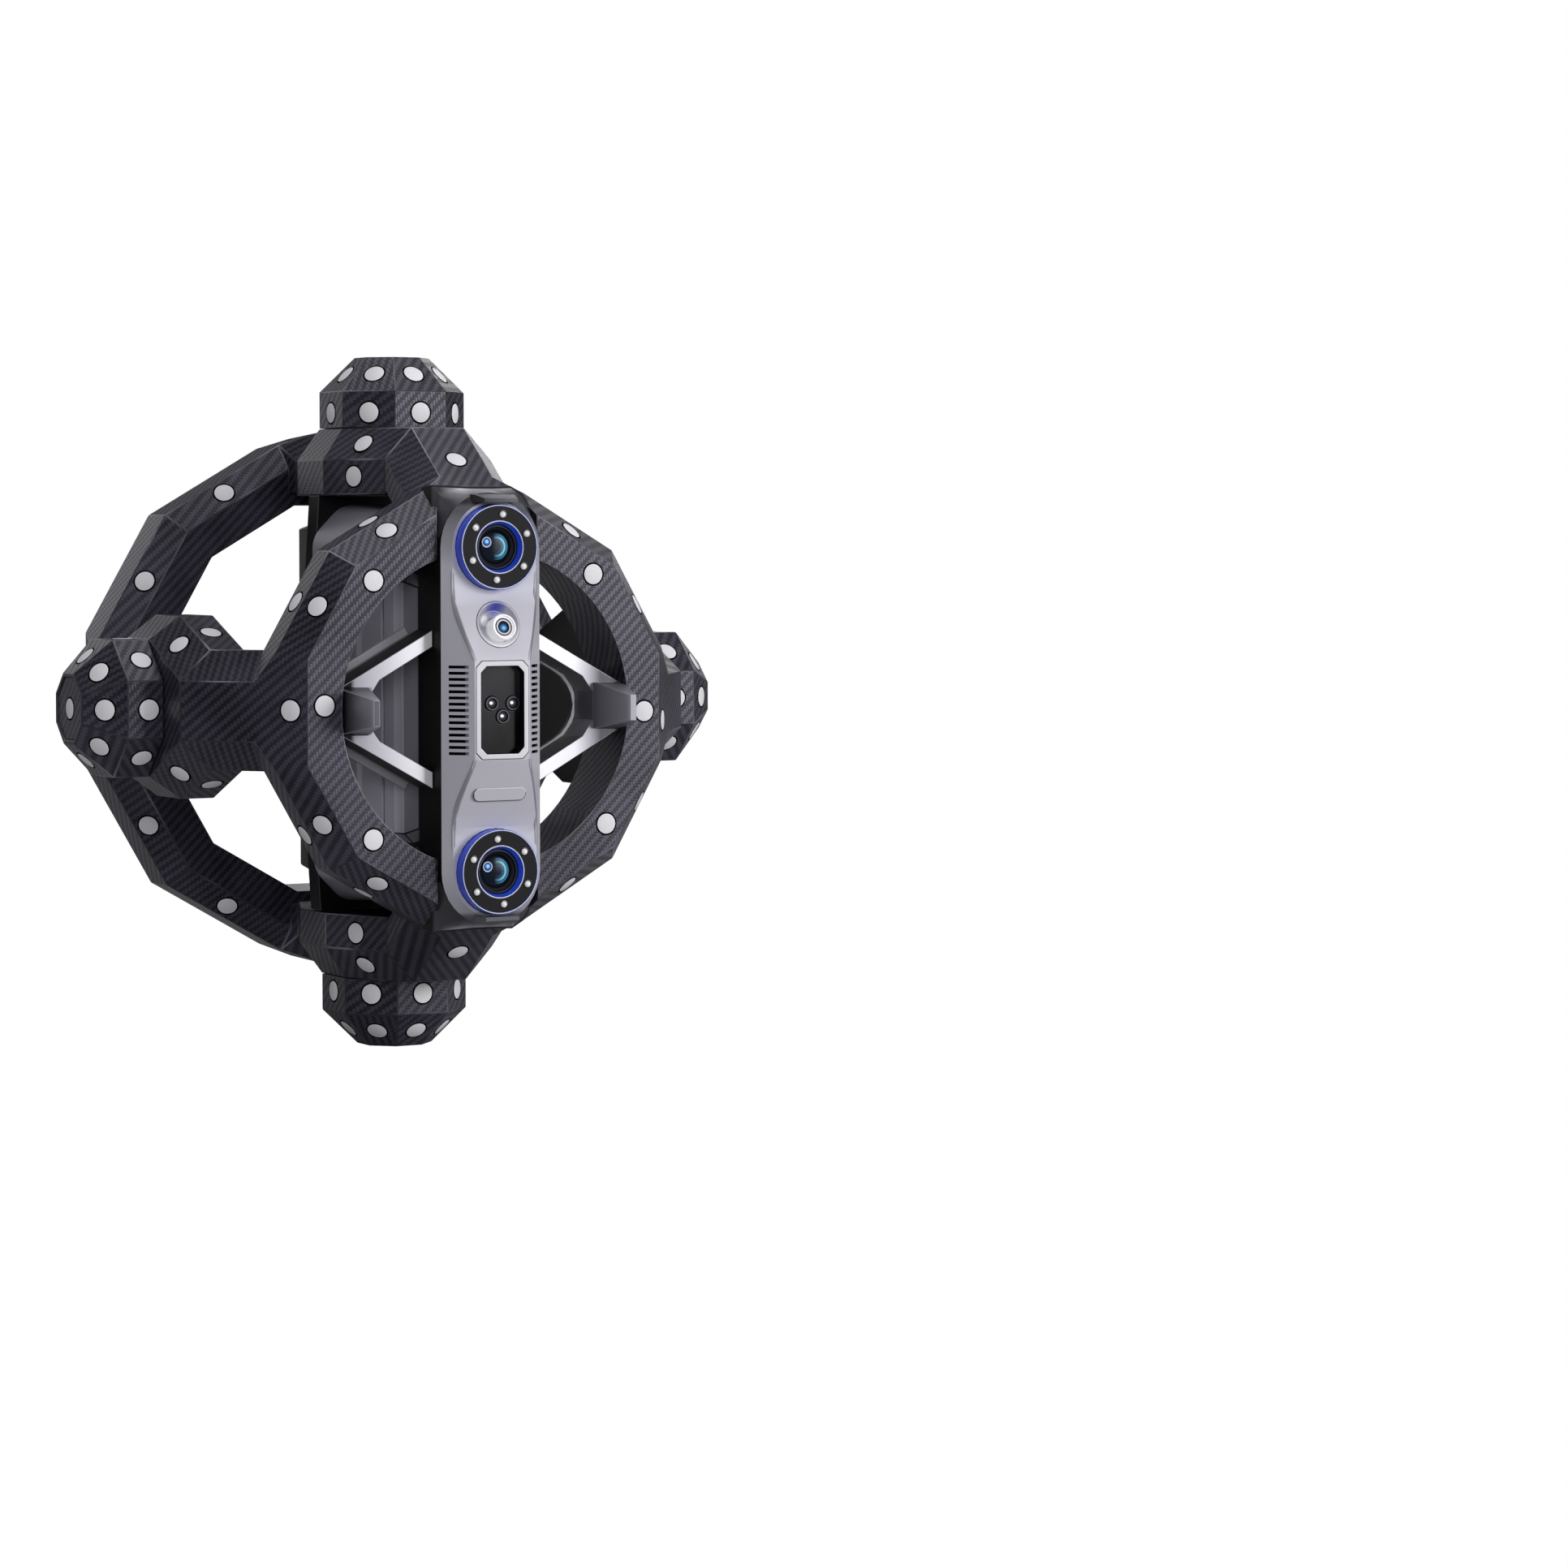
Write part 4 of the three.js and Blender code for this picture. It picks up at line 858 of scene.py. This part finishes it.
refine("window_frame", (frame_silver, bright_edge, black), 0.35, paint=frame_paint)
refine("window_panel", (panel_black, black_edge), 0.2)
refine("projector_module", (panel_black, black), 0.2)
refine("blank_plate", (plate_silver, bright_edge, cap_grey), 0.5, paint=plate_paint)
refine("colour_camera_barrel", (glowing_ring_white, bright_edge), 0.2)
refine("colour_camera_cup", (painted_glint_cup, bright_edge), 0.15)

# Brackets

# The order of a bracket's materials
FRONT, SIDE, POST, TIP, EDGE, WALL = range(6)
# The post's root edge in the CAD and in the refined copy, in metres, and its y in millimetres
ROOT_FROM, ROOT_TO, ROOT_Y = 0.0624, 0.06125, -102.3
# The post's tip lies before this y, in millimetres, and the right one is brought in by this much, in metres
TIP_Y, TIP_IN = -131.5, 0.0028


def bracket_paint(f):
    """Bright front with light bevels, black sides, grey inner walls, and a post with its own tip."""
    c = f.calc_center_median()
    y = c.y / MM - CENTRE.y
    x, z = abs(c.x / MM), abs(c.z / MM - CENTRE.z)
    if f.material_index == 1:
        if y < -103.2 or (y < -101.5 and z > 12):
            return EDGE
        return POST if x > 54 and z < 16 else SIDE
    if f.normal.y < -0.93:
        return TIP if y < -131 else FRONT
    if y < -102.6 or (x > 54.5 and z < 13):
        return POST
    inner = f.normal.x * c.x < -0.2 * abs(c.x) and x < 62
    return WALL if inner else SIDE


def bracket_shape(p):
    """Brings the post's root up to the edge of the bracket's opening, and the right post's tip inwards."""
    y = p.y / MM - CENTRE.y
    if abs(abs(p.x) - ROOT_FROM) < 0.0002 and abs(y - ROOT_Y) < 0.3:
        p.x = math.copysign(ROOT_TO, p.x)
    if y < TIP_Y and p.x > 0:
        p.x -= TIP_IN
    return p


def off_root(e):
    """True for every edge but those at the post's root."""
    return not all(0.0605 < abs(v.co.x) < 0.0618 and abs(v.co.z - MIDDLE) < 0.0125 for v in e.verts)


def bracket(side, post, tip):
    refine(side + "_bracket", (strut_front, strut_side, post, tip, strut_edge, strut_wall), 0.45,
           paint=bracket_paint, shape=bracket_shape, only=off_root)


# the left post's root is near-black and the right one grey: painted shade on the left
bracket("left", post_side("left_post", (0.012, 0.0117, 0.015), (0.3, 0.295, 0.34)), shaded_tip_left)
bracket("right", post_side("right_post", POST_GREY, (0.36, 0.353, 0.4)), lit_tip_right)

# Edges of the upper right strut, x and z, from the head outwards; the others are its mirror images
FLANGE_INNER = ((28.5, 30.8), (36, 26.6), (44, 22.2), (50, 18.8), (54.5, 15.4), (57.8, 11), (60, 6),
                (60.8, 0))
FLANGE_OUTER = ((30.8, 36.4), (45, 28.5), (60, 20.2), (70, 14.6))
FLANGE_Y = (-82.4, -79.4)
# How far the plate goes in under the strut, and how far it stands out at the outer edge
FLANGE_UNDER, FLANGE_OUT = 0.8, 3.6


def mirrored(line):
    return [(x, -z) for x, z in line]


def flange(name, side, mats):
    """Thin plate behind the struts that shows along their outer and inner edges."""
    bm = bmesh.new()
    inner = list(FLANGE_INNER) + mirrored(FLANGE_INNER[-2::-1])
    for line, reach in ((inner, -1), (FLANGE_OUTER, 1), (mirrored(FLANGE_OUTER), 1)):
        bands = []
        for k, (x, z) in enumerate(line):
            a, b = Vector(line[max(k - 1, 0)]), Vector(line[min(k + 1, len(line) - 1)])
            n = Vector((b.y - a.y, a.x - b.x)).normalized()
            if n.dot(Vector((30, 0)) - Vector((x, z))) * reach > 0:
                n = -n
            # the inner band narrows towards the post
            wide = FLANGE_OUT if reach > 0 else 1.9 - 1.3 * max(0, 1 - abs(z) / 20)
            band = [(x - n.x * FLANGE_UNDER, z - n.y * FLANGE_UNDER), (x + n.x * wide, z + n.y * wide)]
            bands.append([bm.verts.new(at(side * px, y, pz)) for px, pz in band for y in FLANGE_Y])
        for p, q in zip(bands, bands[1:]):
            for i, j in ((0, 1), (1, 3), (3, 2), (2, 0)):
                bm.faces.new((p[i], p[j], q[j], q[i])).material_index = len(mats) - 1 if i == 3 else 0
        for p in (bands[0], bands[-1]):
            bm.faces.new((p[0], p[1], p[3], p[2]))
    bmesh.ops.recalc_face_normals(bm, faces=bm.faces)
    put(finish_mesh(bm, name, mats, 30, False), "scanner", "silver")


flange("left_flange", -1, (flange_left,))
flange("right_flange", 1, (lit_flange_right, strut_wall))

# Bevels that run down both sides of the window like an hourglass: reach up, inner and outer half-width
WAIST = ((69, 22.9, 23.0), (66, 21.7, 23.9), (60, 21.5, 23.9), (54, 21.4, 23.7), (49, 21.0, 23.2),
         (45, 20.3, 22.5), (41, 19.2, 21.4), (36, 17.6, 19.9), (31, 15.9, 18.3), (27.5, 14.7, 17.2),
         (24.2, 14.0, 16.3))
# A strip's section: the share of its width, and how far it stands off the cover in millimetres
STRIP = ((0, 0.06), (0.2, 0.14), (0.8, 0.22), (1, 0.06))


def waist_strips():
    bm = bmesh.new()
    for sx, sz in ((1, 1), (1, -1), (-1, 1), (-1, -1)):
        rows = []
        for z, a, b in WAIST:
            row = []
            for share, lift in STRIP:
                start = at(sx * (a + (b - a) * share), -200, sz * z)
                found = hit(("head_front_cover",), start, Vector((0, 1, 0)))
                row.append(bm.verts.new(found[0] + Vector((0, -lift * MM, 0))))
            rows.append(row)
        for p, q in zip(rows, rows[1:]):
            for i in range(3):
                bm.faces.new((p[i], p[i + 1], q[i + 1], q[i])).material_index = 1 if i == 2 else 0
    bmesh.ops.recalc_face_normals(bm, faces=bm.faces)
    for f in bm.faces:
        if f.normal.y > 0:
            f.normal_flip()
    put(finish_mesh(bm, "waist_strips", (strip_grey, silver_edge), 60, False), "scanner", "silver")


waist_strips()

# Cameras

# Profiles in millimetres, and the material of each band between two of their points
RING = ((12.0, -108.0), (11.2, -117.6), (11.1, -118.8), (12.3, -121.2), (12.45, -121.6), (12.8, -121.7),
        (13.0, -121.45), (13.0, -120.6), (13.0, -109.6), (19.8, -109.6), (19.8, -120.9), (20.0, -121.5),
        (20.25, -121.7), (20.5, -121.6), (20.8, -121.2), (20.8, -108.0), (12.0, -108.0))
RING_STRIPES = (0, 0, 0, 0, 1, 1, 0, 0, 0, 0, 0, 1, 1, 0, 0, 0)
PLATE = ((13.1, -120.2), (13.1, -121.2), (13.4, -121.45), (19.4, -121.45), (19.7, -121.2), (19.7, -120.2))
PLATE_STRIPES = (0, 1, 0, 1, 0)
BARREL = ((10.9, -91.0), (10.9, -117.8), (10.6, -118.6), (10.1, -118.8), (9.8, -118.5), (9.6, -117.5),
          (9.1, -117.3), (8.8, -116.6), (8.3, -116.4), (8.0, -115.8), (7.8, -115.6), (7.6, -112.0),
          (7.1, -111.7), (6.9, -111.1), (6.8, -104.0))
BARREL_STRIPES = (0, 1, 1, 1, 0, 0, 1, 0, 0, 0, 0, 0, 0, 0)
LAMP_RIM = ((2.15, -121.44), (2.1, -121.62), (1.75, -121.66), (1.68, -121.5))
EYE_RIM = [(2.6, -115.5), (2.6, -117.2), (2.45, -117.35), (2.15, -117.3)]
# The lamps: radius of one, radius of their circle, and how far the circle is turned, in degrees
LAMP, LAMP_CIRCLE, LAMP_TURN = 1.62, 16.0, 6
# The coatings' rings of colour, painted reflections that glow: share of the radius, and tone
LENS_TONES = ((0.0, (0.003, 0.006, 0.014)), (0.28, (0.006, 0.015, 0.04)), (0.36, (0.03, 0.1, 0.2)),
              (0.42, (0.006, 0.016, 0.04)), (0.5, (0.05, 0.18, 0.26)), (0.58, (0.2, 0.5, 0.54)),
              (0.64, (0.1, 0.3, 0.4)), (0.7, (0.01, 0.04, 0.09)), (0.8, (0.05, 0.2, 0.36)),
              (0.84, (0.004, 0.01, 0.02)), (0.93, (0.003, 0.006, 0.012)))
EYE_TONES = ((0.0, (0.62, 0.8, 0.95)), (0.25, (0.2, 0.48, 0.8)), (0.55, (0.03, 0.13, 0.36)),
             (0.8, (0.01, 0.03, 0.1)), (1.0, (0.2, 0.28, 0.5)))


def lamps(end, z, s):
    """Six domed lamps in black rims round a camera."""
    for i in range(6):
        t = math.pi / 2 + i * math.pi / 3 - s * math.radians(LAMP_TURN)
        x, zz = LAMP_CIRCLE * math.cos(t), z + LAMP_CIRCLE * math.sin(t)
        lathe(f"{end}_light_{i}_rim", LAMP_RIM, x, zz, (black_gloss,), segments=24)
        lathe(f"{end}_light_{i}", [(LAMP, -121.3)] + dome(LAMP, -121.5, 1.25, 7), x, zz, (lamp_white,),
              slot="bright", segments=24)


def lenses(end, z):
    """The glass, the coated front element and a small lens that seems to lie inside it, their coatings bright
    with painted reflections.
    """
    lathe(end + "_glass_fine", [(6.9, -110.0)] + dome(6.9, -110.0, 3.0, 8), 0, z, (black_gloss,),
          slot="glass", replaced=(end + "_lens_glass",))
    coat = lens_coat(end + "_lens_coating", at(0.4, 0, z + 0.2), 0.0077, 0.5, *LENS_TONES, side=1.7)
    lathe(end + "_front_element", [(7.75, -113.0), (7.75, -115.7)] + dome(7.75, -115.7, 1.7, 8)[1:], 0, z,
          (coat,), slot="glass")
    eye_coat = lens_coat(end + "_inner_coating", at(-5.2, 0, z + 2.7), 0.0023, 0.4, *EYE_TONES)
    lathe(end + "_inner_lens", EYE_RIM + dome(2.15, -117.2, 0.8, 6), -4.9, z + 2.4,
          (black, eye_coat, blue_edge), slot="glass", stripes=[0, 2, 2, 0] + [1] * 6, segments=40)


for end, s in (("upper", 1), ("lower", -1)):
    z = s * CAMERA_UP
    lathe(end + "_ring_fine", RING, 0, z, (blue, blue_edge), slot="blue", replaced=(end + "_camera_ring",),
          stripes=RING_STRIPES)
    lathe(end + "_plate_fine", PLATE, 0, z, (plate_black, black_edge), replaced=(end + "_light_plate",),
          stripes=PLATE_STRIPES)
    refine(end + "_light_board", (lamp_white, lamp_white), 0)
    lamps(end, z, s)
    lathe(end + "_barrel_fine", BARREL, 0, z, (black, black_edge), replaced=(end + "_lens_barrel",),
          stripes=BARREL_STRIPES)
    lenses(end, z)
    refine(end + "_sensor_board", (board, board), 0.1)

# The colour camera sits on a slant above the window: how much it leans back, where it begins and how far
# its foot stands out
SLANT, SLANT_FOOT, NOSE = 8.5 / 32.4, 24.6, 124
COLOUR_X = 1.6
cup_y = -(NOSE - (COLOUR_UP - SLANT_FOOT) * SLANT)
on_slant = (Matrix.Translation((0, cup_y, COLOUR_UP)) @ Matrix.Rotation(-math.atan(SLANT), 4, "X")
            @ Matrix.Translation((0, 0, -1.9)))
# the colour camera's coating glows with painted reflections
COLOUR_TONES = ((0.0, (0.4, 0.65, 0.85)), (0.4, (0.05, 0.22, 0.45)), (0.75, (0.01, 0.05, 0.15)),
                (1.0, (0.003, 0.004, 0.008)))
camera_glass = lens_coat("colour_camera_coating", at(1.3, 0, 39.8), 0.0026, 0.25, *COLOUR_TONES)
COLOUR_MOUNT = [(4.5, -2.1), (4.3, -2.3), (4.05, -2.4), (3.9, -2.4), (3.0, -2.35), (2.7, -1.9)]
COLOUR_RIM = [(6.3, -1.4), (6.5, -2.1), (6.4, -2.45), (6.1, -2.55), (4.8, -2.55), (4.5, -2.4), (4.4, -2.0)]
lathe("colour_glass_fine", COLOUR_MOUNT + dome(2.55, -2.0, 0.9, 6), COLOUR_X, 0,
      (plate_silver, camera_glass, black), slot="glass", replaced=("colour_camera_glass",), bend=on_slant,
      stripes=[2, 2, 2, 0, 2, 2] + [1] * 6, segments=40)
lathe("colour_rim_fine", COLOUR_RIM, COLOUR_X, 0, (glowing_ring_white, black_gloss), slot="bright",
      stripes=[0, 0, 0, 0, 0, 1], segments=48, bend=on_slant)

# Three small lens fronts in the window: x and z
EMITTERS = ((-3.4, 3), (7.8, 3), (2.5, -3.4))
EMITTER_RIM = [(3.5, -119.0), (3.5, -119.7), (3.3, -119.9), (2.7, -119.9), (2.5, -119.6)]
EMITTER_TONES = ((0.0, (0.8, 0.8, 0.82)), (0.26, (0.6, 0.6, 0.64)), (0.34, (0.03, 0.03, 0.036)),
                 (1.0, (0.006, 0.006, 0.008)))
for i, (x, z) in enumerate(EMITTERS):
    # each front's coating glows with a painted highlight a little left of and above its middle
    coat = lens_coat(f"emitter_coating_{i}", at(x - 0.9, 0, z + 0.3), 0.0026, 1.0, *EMITTER_TONES)
    lathe(f"emitter_{i}", EMITTER_RIM + dome(2.45, -119.0, 1.5, 6), x, z, (black_gloss, coat, dark_satin),
          slot="glass", stripes=[0, 2, 2, 0, 0] + [1] * 6, segments=36)

# Core, grip and controls

# A place inside the core
CORE = at(0, -30, 0)


def core_edge(e):
    """True for the core's long outer edges, which run from front to back."""
    outer = all(f.normal.dot(f.calc_center_median() - CORE) > 0 for f in e.link_faces)
    return outer and abs((e.verts[0].co - e.verts[1].co).y) > 0.01


refine("neck", (cowl, dark_satin), 0.5)
refine("core_housing", (cowl, cowl), 7, 6, only=core_edge)
refine("rear_plate", (black, black_edge), 0.8)
for part in ("upper_right", "lower_right", "upper_left", "lower_left"):
    refine(part + "_screw", (steel, steel), 0.2)
refine("grip", (rubber, black_edge), 1.6, 3, 20)
refine("console_plate", (grey, dark_satin), 0.3)
refine("scan_button", (blue, blue_edge), 0.4)
refine("plus_key", (grey, dark_satin), 0.4)
refine("minus_key", (grey, dark_satin), 0.4)
refine("console_board", (board, board), 0.1)
refine("trigger", (grey, dark_satin), 0.8)
refine("cable_socket", (steel, steel), 0.2)
refine("socket_insert", (black, black), 0)
refine("main_board", (board, board), 0.2)
refine("heat_sink", (steel, steel), 0.2)

# Stage

# The floor's half-width and how far it lies below the object, in metres
FLOOR_HALF, FLOOR_DROP = 6, 0.0006
FLOOR_GREY, SKY, SKY_STRENGTH = (0.45, 0.45, 0.46), (0.95, 0.96, 1.0), 0.2
# What the lamps point at
AIM = Vector((0, 0, 0.17))


def white_to_camera(tree, soft, white, out):
    """The camera sees the white shader, and all other rays the soft one."""
    mix = tree.nodes.new("ShaderNodeMixShader")
    path = tree.nodes.new("ShaderNodeLightPath")
    tree.links.new(path.outputs["Is Camera Ray"], mix.inputs[0])
    tree.links.new(soft.outputs[0], mix.inputs[1])
    tree.links.new(white.outputs[0], mix.inputs[2])
    tree.links.new(mix.outputs[0], out.inputs[0])


def pale_floor():
    mat = bpy.data.materials.new("pale_floor")
    mat.use_nodes = True
    tree = mat.node_tree
    tree.nodes.clear()
    pale = tree.nodes.new("ShaderNodeBsdfDiffuse")
    pale.inputs[0].default_value = (*FLOOR_GREY, 1)
    white = tree.nodes.new("ShaderNodeEmission")
    white_to_camera(tree, pale, white, tree.nodes.new("ShaderNodeOutputMaterial"))
    h = FLOOR_HALF
    mesh = bpy.data.meshes.new("floor")
    mesh.from_pydata([(-h, -h, 0), (h, -h, 0), (h, h, 0), (-h, h, 0)], [], [(0, 1, 2, 3)])
    mesh.materials.append(mat)
    floor = bpy.data.objects.new("floor", mesh)
    floor.location.z = -FLOOR_DROP
    bpy.context.scene.collection.objects.link(floor)


def studio_world():
    world = bpy.data.worlds.new("studio")
    bpy.context.scene.world = world
    world.use_nodes = True
    tree = world.node_tree
    tree.nodes.clear()
    soft = tree.nodes.new("ShaderNodeBackground")
    soft.inputs[0].default_value = (*SKY, 1)
    soft.inputs[1].default_value = SKY_STRENGTH
    white = tree.nodes.new("ShaderNodeBackground")
    white.inputs[0].default_value = (1, 1, 1, 1)
    white_to_camera(tree, soft, white, tree.nodes.new("ShaderNodeOutputWorld"))


def softbox(name, place, watts, size):
    data = bpy.data.lights.new(name, "AREA")
    data.shape = "RECTANGLE"
    data.size, data.size_y = size
    data.energy = watts
    obj = bpy.data.objects.new(name, data)
    obj.location = place
    obj.rotation_mode = "QUATERNION"
    obj.rotation_quaternion = (AIM - Vector(place)).to_track_quat("-Z", "Y")
    bpy.context.scene.collection.objects.link(obj)


pale_floor()
studio_world()
softbox("key", (1.5, -2.05, 0.45), 39, (1.1, 1.7))
softbox("front", (-0.9, -2.3, 0.9), 14, (1.5, 0.9))
softbox("upper_left", (-1.5, -0.7, 1.6), 1.6, (0.9, 0.9))
softbox("top", (0.1, 0.1, 1.8), 8, (1.2, 1.2))
softbox("back_left", (-0.6, 2.2, 0.8), 3.8, (1.4, 1.2))
softbox("back_right", (1.3, 1.9, 0.9), 8, (0.9, 1.2))

# The camera that was fitted to the photograph: its direction in degrees, its place in millimetres,
# and its focal length and principal point in pixels of the photograph
AZ, EL, REACH, ASIDE, RISE = 31.139, 2.305, 2200.195, 227.122, -1.63
PHOTO, FOCAL, PRINCIPAL_X, PRINCIPAL_Y = 1932, 5314.036, 1032.8, 868.088
SENSOR = 36
az, el = math.radians(AZ), math.radians(EL)
look = Vector((math.sin(az) * math.cos(el), math.cos(az) * math.cos(el), -math.sin(el)))
right = Vector((math.cos(az), -math.sin(az), 0))
up = right.cross(look)
data = bpy.data.cameras.new("camera")
data.sensor_width = SENSOR
data.lens = FOCAL / PHOTO * SENSOR
data.shift_x = (PHOTO / 2 - PRINCIPAL_X) / PHOTO
data.shift_y = (PRINCIPAL_Y - PHOTO / 2) / PHOTO
data.clip_start, data.clip_end = 0.05, 40
camera = bpy.data.objects.new("camera", data)
place = (right * ASIDE + up * RISE - look * REACH + CENTRE) * MM
camera.matrix_world = Matrix.Translation(place) @ Matrix((right, up, -look)).transposed().to_4x4()
bpy.context.scene.collection.objects.link(camera)
bpy.context.scene.camera = camera
bpy.context.scene.view_settings.view_transform = "Standard"
